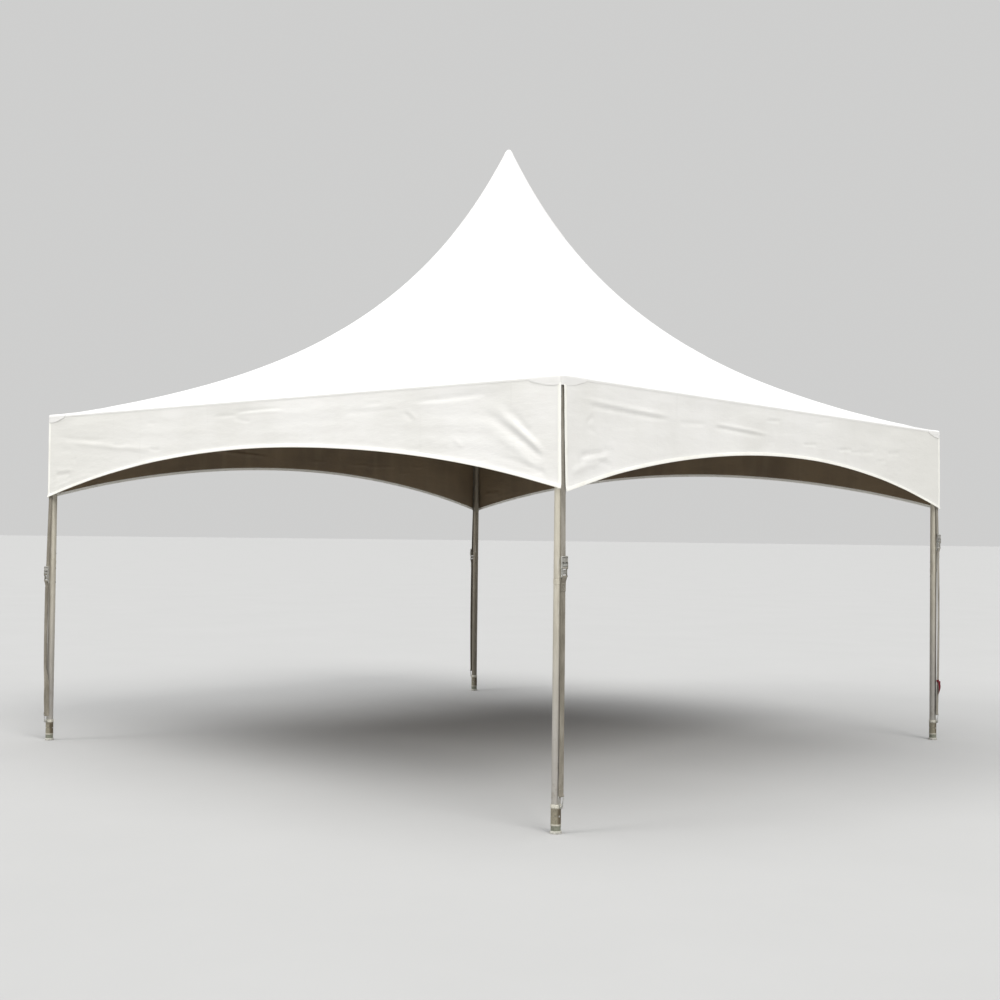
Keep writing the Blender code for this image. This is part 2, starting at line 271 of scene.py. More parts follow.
def make_cloth(name, colour, shade, dirt, folds, flap_shade_tone=None, far_tone=None):
    finish = Finish(name, roughness=0.42, specular_ior_level=0.42)
    spot = finish.here()
    x, y, z = finish.parts(spot)
    clouds = finish.noise(spot, 1.7, 4.0, 0.55)
    grain = finish.noise(spot, 38.0, 3.0, 0.6)
    runs = finish.noise(spot, (16.0, 16.0, 1.1), 3.0, 0.6).rise(0.60, 0.82)
    marks = fold_marks(x, y, z)
    base = finish.blend(clouds.rise(0.35, 0.75), colour, shade)
    base = finish.blend(runs * dirt, base, RAIN_GREY)
    base = finish.blend(marks * (0.10 * folds), base, shade)
    if flap_shade_tone:                # painted shade: where the cloth hangs down it takes the valance's greyer tone
        base = finish.blend(z.rise(FLAP_SHADE_FROM, FLAP_SHADE_FULL), base, flap_shade_tone)
    if far_tone:                # darker towards the two ends that are farthest from the near corner
        far = y.rise(0.0, 2.3).most(x.rise(-0.2, -2.3))
        base = finish.blend(far * FAR_SHARE, base, far_tone)
    crumple = finish.noise(spot, (5.0, 5.0, 16.0), 5.0, 0.55)
    finish.set(base_color=base, roughness=0.36 + clouds * 0.14 + grain * 0.06)
    finish.relief(
        (crumple, 0.30, 12 * MM),
        (marks, 0.25 * folds, 1.5 * MM),
        (grain, 0.10, 0.6 * MM),
        (weave_height(x, y, z), 0.16, 0.12 * MM),
    )
    return finish.material


roof_white = make_cloth("roof_white", (0.93, 0.93, 0.92), (0.88, 0.88, 0.865), dirt=0.04, folds=1.0,
                        flap_shade_tone=(0.79, 0.78, 0.752))
valance_white = make_cloth("valance_white", (0.83, 0.82, 0.795), (0.76, 0.75, 0.715), dirt=0.12, folds=0.8,
                           far_tone=(0.72, 0.71, 0.665))
patch_white = make_cloth("patch_white", (0.90, 0.89, 0.87), (0.85, 0.84, 0.82), dirt=0.08, folds=0.0,
                         flap_shade_tone=(0.80, 0.79, 0.765))
print("cloth finishes made")

# %% [markdown]
# ## Tape, thread and backing
# The hem is bound with a smoother and cleaner tape and sewn with a dull thread. The inside of all the
# cloth is painted dark brown-grey as the shade in the tent. These three are a colour between two colours
# and one or two layers of noise.

# %% Hem tape, thread and backing
def make_tape():
    """A clean strip that is finely grained."""
    finish = Finish("hem_tape", roughness=0.34)
    spot = finish.here()
    soil = finish.noise(spot, 9.0, 4.0, 0.6).rise(0.45, 0.80)
    grain = finish.noise(spot, 420.0, 2.0)
    base = finish.blend(soil * 0.35, (0.93, 0.92, 0.86), (0.68, 0.65, 0.55))
    finish.set(base_color=base, roughness=0.30 + grain * 0.14)
    finish.relief((grain, 0.2, 0.4 * MM))
    return finish.material


def make_thread():
    finish = Finish("sewing_thread", roughness=0.7)
    spot = finish.here()
    twist = finish.noise(spot, 900.0, 2.0)
    finish.set(base_color=finish.blend(twist, (0.80, 0.79, 0.74), (0.60, 0.58, 0.52)))
    finish.relief((twist, 0.4, 0.3 * MM))
    return finish.material


def make_backing():
    """Brown-grey inside face, painted dark as the shade in the tent, with paler runs."""
    finish = Finish("painted_shade_backing", roughness=0.62, specular_ior_level=0.30)
    spot = finish.here()
    x, y, z = finish.parts(spot)
    clouds = finish.noise(spot, 2.3, 4.0, 0.55)
    grain = finish.noise(spot, 60.0, 3.0, 0.6)
    runs = finish.noise(spot, (9.0, 9.0, 0.9), 3.0).rise(0.5, 0.8)
    crumple = finish.noise(spot, (5.0, 5.0, 16.0), 5.0, 0.55)
    # painted shade: the whole inside of the cloth is coloured dark brown-grey for the shade in the tent
    base = finish.blend(clouds.rise(0.30, 0.75), (0.215, 0.160, 0.098), (0.160, 0.120, 0.076))
    base = finish.blend(runs * 0.4, base, (0.260, 0.205, 0.135))
    finish.set(base_color=base, roughness=0.55 + grain * 0.2)
    finish.relief((crumple, 0.35, 12 * MM), (weave_height(x, y, z), 0.25, 0.15 * MM))
    return finish.material


hem_tape = make_tape()
sewing_thread = make_thread()
painted_shade_backing = make_backing()
print("hem tape, thread and backing made")

# %% [markdown]
# ## Dull aluminium
# The tubes are mill-finished aluminium that has gone dull: warm and pale high up, greyer and dirtier
# towards the ground, with drawing lines along the tube and small scrapes. Each tube's object stands on
# its own axis, so the angle round that axis gives the drawing lines. The leg at the back on the left
# stands in the shade of the roof, and that shade is painted into a much darker finish of its own.

# %% Dull aluminium
def drawing_lines(finish, x, y):
    """Lines that run along the axis of a tube: noise on the direction from the axis."""
    flat = finish.add("CombineXYZ", {}, {"X": x, "Y": y})
    way = finish.add("VectorMath", {"operation": "NORMALIZE"}, {0: flat})
    return finish.noise(way, 14.0, 2.0, 0.7)


def make_tube_metal(name, top, bottom, level_low, level_high, metallic):
    finish = Finish(name, metallic=metallic, specular_ior_level=0.5)
    spot = finish.here()
    x, y, z = finish.parts(spot)
    lines = drawing_lines(finish, x, y)
    blotch = finish.noise(spot, (30.0, 30.0, 5.0), 4.0, 0.65)
    scrapes = finish.noise(spot, (160.0, 160.0, 7.0), 2.0, 0.5).rise(0.66, 0.74)
    soil = finish.noise(spot, 26.0, 5.0, 0.7).rise(0.48, 0.78) * z.rise(0.9, 0.1)
    base = finish.blend(z.rise(level_low, level_high), bottom, top)
    base = finish.blend(blotch.rise(0.40, 0.70) * 0.45, base, (0.33, 0.30, 0.24))
    base = finish.blend(scrapes * 0.5, base, (0.78, 0.77, 0.73))
    base = finish.blend(soil * 0.6, base, (0.20, 0.17, 0.12))
    finish.set(base_color=base, roughness=0.36 + blotch * 0.24 + soil * 0.2)
    finish.relief((lines, 0.12, 0.4 * MM), (blotch, 0.10, 0.6 * MM), (scrapes, 0.25, 0.3 * MM))
    return finish.material


BEIGE_METAL = (0.62, 0.58, 0.48)
GREY_METAL = (0.42, 0.40, 0.37)
LEG_SHADE_METAL = (0.24, 0.21, 0.16)
leg_metal = make_tube_metal("leg_metal", BEIGE_METAL, GREY_METAL, 0.30, 1.35, metallic=0.35)
# painted shade: a dark copy of the leg metal for the back left leg, which stands in the roof's shade
shaded_leg_metal = make_tube_metal("shaded_leg_metal", LEG_SHADE_METAL, (0.20, 0.18, 0.14), 0.30, 1.35, metallic=0.30)
beam_metal = make_tube_metal("beam_metal", BEIGE_METAL, (0.56, 0.53, 0.45), -1.0, 1.0, metallic=0.5)
print("tube metals made")

# %% [markdown]
# ## Castings, bolts, wire rope and feet
# Castings, zinc-coated bolts and wire ropes differ in colour and in the size of their mottling, so one
# recipe serves them all. A foot is banded: pale plate, dark spigot, brown sleeve and bright ring. A
# colour ramp on the height gives the bands, and noise breaks them up. The sleeve's right-hand side, as
# the camera sees it, is painted dark brown as shade.

# %% Castings, worn steel, zinc and wire rope
def make_worn_metal(name, clean, worn, soil_colour, metallic, scale, rough):
    """Sand-cast or zinc-coated metal: mottled, with patches of soil."""
    finish = Finish(name, metallic=metallic)
    spot = finish.here()
    mottle = finish.noise(spot, scale, 5.0, 0.65)
    pits = finish.noise(spot, scale * 7, 3.0, 0.6)
    soil = finish.noise(spot, scale * 0.4, 4.0, 0.7).rise(0.45, 0.72)
    base = finish.blend(mottle.rise(0.35, 0.68), clean, worn)
    base = finish.blend(soil * 0.55, base, soil_colour)
    finish.set(base_color=base, roughness=rough + pits * 0.22)
    finish.relief((mottle, 0.22, 1.0 * MM), (pits, 0.30, 0.5 * MM))
    return finish.material


def make_foot_metal():
    """Steel foot: pale plate, green-grey spigot, sleeve with a painted-shade side, each band by its height.
    """
    finish = Finish("worn_steel_foot", metallic=0.35)
    spot = finish.here()
    x, y, z = finish.parts(spot)
    mottle = finish.noise(spot, 60.0, 5.0, 0.7)
    splash = finish.noise(spot, (40.0, 40.0, 22.0), 4.0, 0.7)
    bands = finish.add("ValToRGB", {"stops": [
        (0.00, (0.64, 0.63, 0.58)),
        (0.09, (0.58, 0.57, 0.51)),
        (0.12, (0.21, 0.22, 0.17)),
        (0.26, (0.24, 0.245, 0.19)),
        (0.30, (0.52, 0.50, 0.43)),
        (0.35, (0.29, 0.265, 0.195)),
        (0.84, (0.33, 0.30, 0.225)),
        (0.90, (0.62, 0.60, 0.52)),
    ]}, {"Fac": z / FOOT_TOP})
    base = finish.blend(mottle.rise(0.42, 0.70) * 0.5, bands, (0.10, 0.09, 0.07))
    # painted shade: the sleeve's right-hand side, as the camera sees it, goes dark brown
    shade_side = (x * 0.76 + y * 0.65 + splash * 0.016).rise(0.008, 0.024)
    side_shade = shade_side * z.rise(0.044, 0.054) * z.rise(0.130, 0.120)
    base = finish.blend(side_shade * 0.85, base, (0.095, 0.072, 0.042))
    base = finish.blend(splash.rise(0.60, 0.75) * 0.5, base, (0.40, 0.36, 0.29))
    finish.set(base_color=base, roughness=0.52 + mottle * 0.28)
    finish.relief((mottle, 0.35, 1.2 * MM), (splash, 0.30, 1.5 * MM))
    return finish.material


cast_metal = make_worn_metal("cast_metal", (0.50, 0.49, 0.45), (0.36, 0.35, 0.32), (0.16, 0.15, 0.12),
                             metallic=0.6, scale=55.0, rough=0.42)
zinc = make_worn_metal("zinc", (0.56, 0.56, 0.52), (0.38, 0.38, 0.35), (0.14, 0.12, 0.09),
                       metallic=0.75, scale=90.0, rough=0.30)
wire_metal = make_worn_metal("wire_metal", (0.46, 0.46, 0.45), (0.30, 0.30, 0.29), (0.12, 0.11, 0.09),
                             metallic=0.85, scale=120.0, rough=0.32)
# painted shadow: a near-black finish for the bottom of a hole, where the shade inside it falls
painted_hole_shadow = make_worn_metal("painted_hole_shadow", (0.05, 0.05, 0.045), (0.03, 0.03, 0.03), (0.02, 0.02, 0.02),
                            metallic=0.2, scale=90.0, rough=0.6)
foot_metal = make_foot_metal()
print("fitting metals made")

# %% [markdown]
# ## Webbing
# The straps are woven polyester with a herringbone of ribs and ground-in dirt. A sine on the height,
# bent by a wave that turns back on itself, gives the ribs. Both colour and relief take them, so the
# weave stays readable in flat light.

# %% Webbing finish
RIB_PITCH, CORD_PITCH = 2.6 * MM, 3.1 * MM


def make_webbing(name, colour, dark, light):
    """Woven polyester: a herringbone of ribs across the strap, two edge cords and ground-in dirt."""
    finish = Finish(name, roughness=0.8, specular_ior_level=0.25)
    spot = finish.here()
    x, y, z = finish.parts(spot)
    zigzag = (x + y).there_and_back(5 * MM)
    ribs = ((z + zigzag * 0.8) * (2 * math.pi / RIB_PITCH)).sine() * 0.5 + 0.5
    cords = ((x + y) * (2 * math.pi / CORD_PITCH)).sine() * 0.5 + 0.5
    soil = finish.noise(spot, (22.0, 22.0, 7.0), 5.0, 0.65)
    base = finish.blend(ribs * 0.45, colour, dark)
    base = finish.blend(soil.rise(0.42, 0.72) * 0.7, base, dark)
    base = finish.blend(soil.rise(0.50, 0.30) * 0.35, base, light)
    finish.set(base_color=base, roughness=0.70 + soil * 0.2)
    finish.relief((ribs, 0.5, 0.5 * MM), (cords, 0.35, 0.4 * MM))
    return finish.material


grey_webbing = make_webbing("grey_webbing", (0.27, 0.245, 0.20), (0.14, 0.125, 0.095), (0.36, 0.335, 0.28))
pale_webbing = make_webbing("pale_webbing", (0.34, 0.315, 0.27), (0.17, 0.155, 0.125), (0.42, 0.395, 0.35))
red_webbing = make_webbing("red_webbing", (0.20, 0.014, 0.02), (0.09, 0.006, 0.012), (0.27, 0.04, 0.04))
print("webbings made")

# %% [markdown]
# ## Shapes
# Most pieces are one of four things: a skin between an outer and an inner grid of points, a turned
# solid, a bar, or a flat plate cut to an outline. All four are rings of points with faces in between.

# %% Rings and faces
def turned_rows(profile, sides):
    """Rings of points about Z from (radius, height) pairs."""
    angles = np.linspace(0, 2 * math.pi, sides, endpoint=False)
    return [np.stack([r * np.cos(angles), r * np.sin(angles), np.full(sides, z)], 1) for r, z in profile]


def grid_faces(rows, columns, closed):
    """Four-sided faces between neighbouring rows of a grid; closed joins the last column to the first."""
    across = np.arange(columns if closed else columns - 1)
    row, column = np.meshgrid(np.arange(rows - 1), across, indexing="ij")
    after = (column + 1) % columns
    here, below = row * columns, (row + 1) * columns
    corners = (here + column, here + after, below + after, below + column)
    return np.stack(corners, -1).reshape(-1, 4)


def volume(points, faces):
    """Signed volume of a closed mesh; it is negative where the faces point inwards."""
    total = 0.0
    for size in {len(face) for face in faces}:
        group = np.array([face for face in faces if len(face) == size])
        first = points[group[:, 0]]
        for i in range(1, size - 1):
            total += float(np.sum(first * np.cross(points[group[:, i]], points[group[:, i + 1]])))
    return total / 6


print("rings, faces and volume ready")

# %% [markdown]
# ## One piece in the making
# `Shape` collects closed solids and then makes one object of them that rides on the frame. It turns a
# solid the right way round by itself: where its signed volume is negative, its faces are flipped.

# %% Shape
class Shape:
    """Closed solids that make up one piece."""

    def __init__(self):
        self.points = []
        self.faces = []
        self.finish_of = []
        self.count = 0

    def add(self, points, faces, finish=0, place=None):
        points = np.asarray(points, float).reshape(-1, 3)
        if place is not None:
            moved = np.c_[points, np.ones(len(points))] @ np.array(place).T
            points = moved[:, :3]
        faces = [list(face) for face in faces]
        if volume(points, faces) < 0:
            faces = [face[::-1] for face in faces]
        self.points.append(points)
        self.faces += [[index + self.count for index in face] for face in faces]
        self.finish_of += list(finish) if hasattr(finish, "__len__") else [finish] * len(faces)
        self.count += len(points)
        return self

    def loft(self, rings, finish=0, place=None, closed=False):
        """A solid skinned over rings; closed joins the last ring to the first."""
        rings = [np.asarray(ring, float) for ring in rings]
        size = len(rings[0])
        faces = grid_faces(len(rings) + (1 if closed else 0), size, True) % (len(rings) * size)
        faces = faces.tolist()
        if not closed:
            faces += [list(range(size))[::-1], list(range((len(rings) - 1) * size, len(rings) * size))]
        return self.add(np.concatenate(rings), faces, finish, place)

    def turned(self, profile, sides=32, finish=0, place=None):
        return self.loft(turned_rows(profile, sides), finish, place)

    def bar(self, start, end, radius, sides=16, edge=0.0006, finish=0):
        """A round bar with a small chamfer at both ends."""
        start, end = Vector(start), Vector(end)
        length = (end - start).length
        profile = [(radius - edge, 0), (radius, edge), (radius, length - edge), (radius - edge, length)]
        place = Matrix.Translation(start) @ (end - start).to_track_quat("Z", "Y").to_matrix().to_4x4()
        return self.turned(profile, sides, finish, place)

    def plate(self, outline, thick, place, edge=0.0005, finish=0):
        """A plate in the XY plane of place, thick along its Z, with a fine chamfer round it."""
        outline = np.asarray(outline, float)
        middle = outline.mean(0)
        shrink = 1 - edge / np.linalg.norm(outline - middle, axis=1).mean()
        small = middle + (outline - middle) * shrink
        levels = ((small, 0), (outline, edge), (outline, thick - edge), (small, thick))
        rings = [np.c_[flat, np.full(len(flat), z)] for flat, z in levels]
        return self.loft(rings, finish, place)

    def skin(self, outer, inner, closed=False, finishes=(0, 1)):
        """A sheet with two faces from two grids of the same size; its rim takes the first finish."""
        rows, columns = outer.shape[:2]
        front = grid_faces(rows, columns, closed)
        size = rows * columns
        back = front[:, [0, 3, 2, 1]] + size   # bends along the same diagonal as the front
        index = np.arange(size).reshape(rows, columns)
        if closed:
            rounds = np.c_[index, index[:, 0]]
            edges = [(rounds[0], -1), (rounds[-1], 1)]
        else:
            edges = [(index[0], -1), (index[-1], 1), (index[:, 0], 1), (index[:, -1], -1)]
        rim = []
        for edge, way in edges:
            for a, b in zip(edge.tolist(), edge[1:].tolist()):
                rim.append([a, b, b + size, a + size][::way])
        faces = front.tolist() + back.tolist() + rim
        finish = [finishes[0]] * len(front) + [finishes[1]] * len(back) + [finishes[0]] * len(rim)
        points = np.concatenate([outer.reshape(-1, 3), inner.reshape(-1, 3)])
        return self.add(points, faces, finish)

    def piece(self, name, slot, *finishes, replaces=(), sharp=38, at=None):
        """Makes the object; at is where its own origin stands, as a point or as a turned place."""
        points = np.concatenate(self.points)
        stand = Matrix.Identity(4)
        if at is not None:
            stand = at if isinstance(at, Matrix) else Matrix.Translation(at)
            points = (np.c_[points, np.ones(len(points))] @ np.array(stand.inverted()).T)[:, :3]
        mesh = bpy.data.meshes.new(name)
        mesh.from_pydata(points.tolist(), [], self.faces)
        for finish in finishes:
            mesh.materials.append(finish)
        mesh.polygons.foreach_set("material_index", self.finish_of)
        mesh.shade_smooth()
        mesh.set_sharp_from_angle(angle=math.radians(sharp))
        made = bpy.data.objects.new(name, mesh)
        made.matrix_world = stand
        bpy.context.scene.collection.objects.link(made)
        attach(made, "root")
        if replaces:
            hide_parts(*replaces)
        return made


def smooth(low, high, value):
    """0 to 1 with soft ends, on numbers or arrays."""
    share = np.clip((value - low) / (high - low), 0, 1)
    return share * share * (3 - 2 * share)


def facing(side):
    """Turns a side's own frame, where it faces -Y, into the place of the named side."""
    return np.array(Matrix.Rotation(math.radians(SIDES[side]), 3, "Z"))


print("shape helpers ready")

# %% [markdown]
# ## The roof as a surface
# A level line of the roof is a circle at the peak and the square of the eaves at the bottom. In between
# it is a rounded square that gets sharper on the way down. Its height comes from the ridge: steep under
# the peak, then sweeping out. At the eave the cloth bends down in a tight quarter turn and ends in a
# narrow flap, behind which the valance is sewn. A formula is used and not a cloth simulation, because
# pulled cloth is smooth and has to meet the frame exactly.

# %% Roof surface
ROLL_R = 0.008                  # the cloth bends over the edge at this radius
FLAP = 0.018                    # the roof cloth ends this far below the eave
CORNER_POWER = 270              # rounds the plan corner of the eave to about 20 mm
ROLL_FROM = math.radians(7)     # slope of the roof where the roll starts
ROOF_ROWS, ROLL_ROWS, DOME_ROWS = 62, 7, 5
ROW_CROWDING = 1.45             # above 1, the rows crowd towards the peak
HALF_COLUMNS = 48
COLUMN_CROWDING = 1.8           # above 1, the columns crowd towards the corners


def ridge_height(t):
    return EAVE_Z + PEAK_RISE * ((1 - t) / (1 + HOLLOW * t)) ** SWEEP


def level_line(half, power, angle):
    """Distance from the mast of a rounded square of that half width."""
    c, s = np.abs(np.cos(angle)), np.abs(np.sin(angle))
    return half / (c ** power + s ** power) ** (1 / power)


def side_angles():
    """Angles round the mast; they crowd towards the corners, where the cloth bends most."""
    share = np.linspace(0, 1, HALF_COLUMNS, endpoint=False)
    from_corner = share ** COLUMN_CROWDING
    towards = np.arctan(1 - from_corner)
    one_side = np.concatenate([-towards, [0.0], towards[:0:-1]])
    return np.concatenate([one_side + quarter * math.pi / 2 for quarter in range(4)])


def roof_rows():
    """(half width, power, height) for each level line, from the peak down to the end of the flap."""
    rows = []
    ring_t = RING_R / HIP
    ring_z = ridge_height(ring_t)
    for i in range(DOME_ROWS):
        share = (i + 0.1) / DOME_ROWS
        rows.append((RING_R * share, 2.0, ring_z + (PEAK_Z - ring_z) * (1 - share) * (1 + share)))
    end_t = (EDGE - ROLL_R * (1 - math.sin(ROLL_FROM))) / EDGE
    for j in range(ROOF_ROWS):
        t = ring_t + (end_t - ring_t) * (j / (ROOF_ROWS - 1)) ** ROW_CROWDING
        power = 2 / (1 - t)
        rows.append((EDGE * t * 2 ** (1 / power), min(power, CORNER_POWER), ridge_height(t)))
    roll_z = ridge_height(end_t) - ROLL_R * math.cos(ROLL_FROM)
    for j in range(1, ROLL_ROWS + 1):
        bend = ROLL_FROM + (math.pi / 2 - ROLL_FROM) * j / ROLL_ROWS
        rows.append((EDGE - ROLL_R * (1 - math.sin(bend)), CORNER_POWER, roll_z + ROLL_R * math.cos(bend)))
    for j in (1, 2):
        rows.append((EDGE, CORNER_POWER, roll_z + (EAVE_Z - FLAP - roll_z) * j / 2))
    return rows


ROWS = roof_rows()
ANGLES = side_angles()


def roof_grid():
    points = np.empty((len(ROWS), len(ANGLES), 3))
    for row, (half, power, z) in enumerate(ROWS):
        r = level_line(half, power, ANGLES)
        points[row] = np.stack([r * np.cos(ANGLES), r * np.sin(ANGLES), np.full(len(r), z)], 1)
    return points


def grid_normals(grid, closed):
    """Outward normals of a grid whose rows run downwards and whose columns run anticlockwise."""
    down = np.gradient(grid, axis=0)
    if closed:
        along = (np.roll(grid, -1, 1) - np.roll(grid, 1, 1)) / 2
    else:
        along = np.gradient(grid, axis=1)
    normals = np.cross(down, along)
    return normals / np.maximum(np.linalg.norm(normals, axis=2, keepdims=True), 1e-12)


plain_roof = roof_grid()
print("roof grid", plain_roof.shape[:2], "from", round(plain_roof[0, 0, 2], 3), "m down to",
      round(plain_roof[-1, 0, 2], 3))

# %% [markdown]
# ## Tension in the roof
# Tight cloth isn't quite smooth. Low folds fan out along the hips from each corner, where the straps
# pull; small puckers stand round the peak ring; and between the seams the cloth lies a few millimetres
# hollow. All of it dies out before the eave, so the valances hang from a straight edge. Each kind of
# fold is a wave times a share between 0 and 1 that says where it is at home.

# %% Roof cloth
CLOTH_THICK = 1.0 * MM
FAN_HIGH, PUCKER_HIGH, HOLLOW_DEEP, RIPPLE_HIGH = 2.6 * MM, 1.3 * MM, 2.2 * MM, 0.8 * MM
FAN_WIDE = 0.42
CLOTH_BOLT = 1.55               # a bolt of cloth is this wide


def roof_folds(grid):
    """How far each point of the roof stands proud of the smooth surface."""
    x, y = grid[..., 0], grid[..., 1]
    radius = np.hypot(x, y)
    angle = np.arctan2(y, x)
    from_hip = (angle % (math.pi / 2)) - math.pi / 4
    beside_hip = radius * np.sin(from_hip)
    share = np.clip(np.maximum(np.abs(x), np.abs(y)) / EDGE, 0, 1)
    fan = np.cos(from_hip * 92) * np.exp(-(beside_hip / FAN_WIDE) ** 2)
    fan_place = smooth(0.45, 0.90, share) * smooth(1.0, 0.93, share)
    pucker = np.cos(angle * 18 + 0.6 * np.sin(angle * 5))
    pucker_place = smooth(0.020, 0.045, share) * smooth(0.26, 0.05, share)
    side_place = np.where(np.abs(x) > np.abs(y), y, x)
    hollow = np.cos(2 * math.pi * side_place / CLOTH_BOLT)
    hollow_place = smooth(0.25, 0.6, share) * smooth(1.0, 0.9, share)
    ripple = np.sin(side_place * 21 + 4 * np.sin(side_place * 3.1))
    ripple_place = smooth(0.80, 0.94, share) * smooth(1.0, 0.97, share)
    proud = FAN_HIGH * fan * fan_place
    proud += PUCKER_HIGH * pucker * pucker_place
    proud += HOLLOW_DEEP * hollow * hollow_place
    return proud + RIPPLE_HIGH * ripple * ripple_place


ROLL_FIRST_ROW = DOME_ROWS + ROOF_ROWS
roof_normals = grid_normals(plain_roof, True)
lift = roof_folds(plain_roof)
lift[:DOME_ROWS + 1] = 0
lift[ROLL_FIRST_ROW:] = 0
roof_outer = plain_roof + roof_normals * lift[..., None]
roof_normals = grid_normals(roof_outer, True)
roof_inner = roof_outer - roof_normals * CLOTH_THICK
roof_cloth = Shape().skin(roof_outer, roof_inner, closed=True)
roof_piece = roof_cloth.piece(
    "roof_cloth", "roof_cloth", roof_white, painted_shade_backing,
    replaces=["mast_cap"] + [f"roof_{side}" for side in SIDES], sharp=60,
)
across = np.linalg.norm(np.diff(roof_outer, axis=0), axis=2)
print("roof cloth faces", len(roof_piece.data.polygons), "longest cell", round(float(across.max()), 3))

# %% [markdown]
# ## Laying things on the roof
# Seams, patches and stitches lie on the finished cloth and not on the smooth formula, or they would
# sink into its folds. A tree of the roof's faces answers two questions: what lies under a point of the
# plan, and which way the cloth faces there.

# %% Ribbons on the roof
def surface_tree(made):
    """A tree of the outer faces only, so that nothing is laid on the backing by mistake."""
    mesh = made.data
    points = [tuple(v.co) for v in mesh.vertices]
    outer = [tuple(face.vertices) for face in mesh.polygons if face.material_index == 0]
    return BVHTree.FromPolygons(points, outer)


roof_tree = surface_tree(roof_piece)
DOWN = Vector((0, 0, -1))
ABOVE_ROOF = PEAK_Z + 1


def on_roof(x, y):
    """The point of the roof's outer face over (x, y), and its normal."""
    spot, normal, _, _ = roof_tree.ray_cast(Vector((x, y, ABOVE_ROOF)), DOWN)
    return spot, normal


def roof_ribbon(shape, line, width, thick, finish=0):
    """A flat welded strip along a line of plan points; it follows the roof under it."""
    spots = [on_roof(x, y) for x, y in line]
    rings = []
    for i, (spot, normal) in enumerate(spots):
        ahead = spots[min(i + 1, len(spots) - 1)][0] - spots[max(i - 1, 0)][0]
        side = ahead.cross(normal).normalized()
        lower, upper = [], []
        for share in (-0.5, -0.3, 0.0, 0.3, 0.5):
            wanted = spot + side * (width * share)
            near, out, _, _ = roof_tree.find_nearest(wanted)
            lower.append(near + out * 0.1 * MM)
            upper.append(near + out * (thick if abs(share) < 0.5 else thick * 0.6))
        rings.append([tuple(p) for p in lower + upper[::-1]])
    return shape.loft(rings, finish)


def plan_turn(point, side):
    return tuple((facing(side) @ np.array([*point, 0.0]))[:2])


ridge_seams, panel_seams = Shape(), Shape()
SEAM_WIDTH, PANEL_SEAM_WIDTH, SEAM_THICK = 34 * MM, 27.2 * MM, 0.9 * MM
PANEL_AT = CLOTH_BOLT / 2
hip_places = np.linspace(0.075, EDGE - 0.012, 110)
gore_places = np.linspace(PANEL_AT + 0.02, EDGE - 0.010, 64)
for side in SIDES:
    line = [plan_turn((place, -place), side) for place in hip_places]
    roof_ribbon(ridge_seams, line, SEAM_WIDTH, SEAM_THICK)
    for x in (-PANEL_AT, PANEL_AT):
        line = [plan_turn((x, -place), side) for place in gore_places]
        roof_ribbon(panel_seams, line, PANEL_SEAM_WIDTH, SEAM_THICK)
ridge_piece = ridge_seams.piece("ridge_seams", "roof_cloth", patch_white)
panel_piece = panel_seams.piece("panel_seams", "roof_cloth", patch_white)
print("seam strips:", len(ridge_piece.data.polygons) + len(panel_piece.data.polygons), "faces")

# %% [markdown]
# ## Peak collar
# The cloth is doubled where it is loaded. Round the peak lies a cone of the same cloth. It is the top
# rows of the roof's own grid, moved outwards along the normals, so it follows every pucker under it.

# %% Peak collar
COLLAR_ROWS = DOME_ROWS + 15
COLLAR_OUT, COLLAR_IN = 1.3 * MM, 0.2 * MM
collar_base, collar_normals = roof_outer[:COLLAR_ROWS], roof_normals[:COLLAR_ROWS]
collar_outer = collar_base + collar_normals * COLLAR_OUT
collar_inner = collar_base + collar_normals * COLLAR_IN
collar = Shape().skin(collar_outer, collar_inner, closed=True, finishes=(0, 0))
collar_piece = collar.piece("peak_collar", "roof_cloth", patch_white, sharp=60)
print("collar reaches down to", round(float(collar_base[-1, 0, 2]), 3))

# %% [markdown]
# ## Corner patches
# At each corner a patch comes down over the edge as far as the top of the slit and holds the two
# valances together. It is gathered a little on the very corner. Its rows climb from the slit round the
# edge and end as an arc on the slope, where each point is dropped on the roof from above.

# %% Corner patches
PATCH_REACH = 0.2448            # how far the patch goes in from the edge
PATCH_ARC = 0.28                # half length of the patch where it leaves the edge
PATCH_COLUMNS = 49
PATCH_OUT, PATCH_IN = 1.6 * MM, 0.4 * MM
SLIT_TOP = 0.052
GATHER_ROW = 10                 # the row that lies on the bend of the edge
GATHER_HIGH, GATHER_BESIDE = 3.5 * MM, 0.9 * MM


def patch_rows():
    """(half width, height or nothing, half length along the edge) from the slit up and inwards."""
    rows = [(EDGE, EAVE_Z - SLIT_TOP, 0.070), (EDGE, EAVE_Z - SLIT_TOP + 0.006, 0.115)]
    rows += [(EDGE, EAVE_Z - 0.034, 0.160), (EDGE, EAVE_Z - 0.024, 0.200)]
    for half, _, z in reversed(ROWS[ROLL_FIRST_ROW:-2]):
        rows.append((half, z, 0.22 + 0.5 * (EDGE - half)))
    for inset in np.linspace(0.030, PATCH_REACH, 17):
        rows.append((EDGE - inset, None, math.sqrt(PATCH_ARC ** 2 - 1.2 * inset ** 2)))
    return rows


def bell(value, middle, width):
    return np.exp(-((value - middle) / width) ** 2)


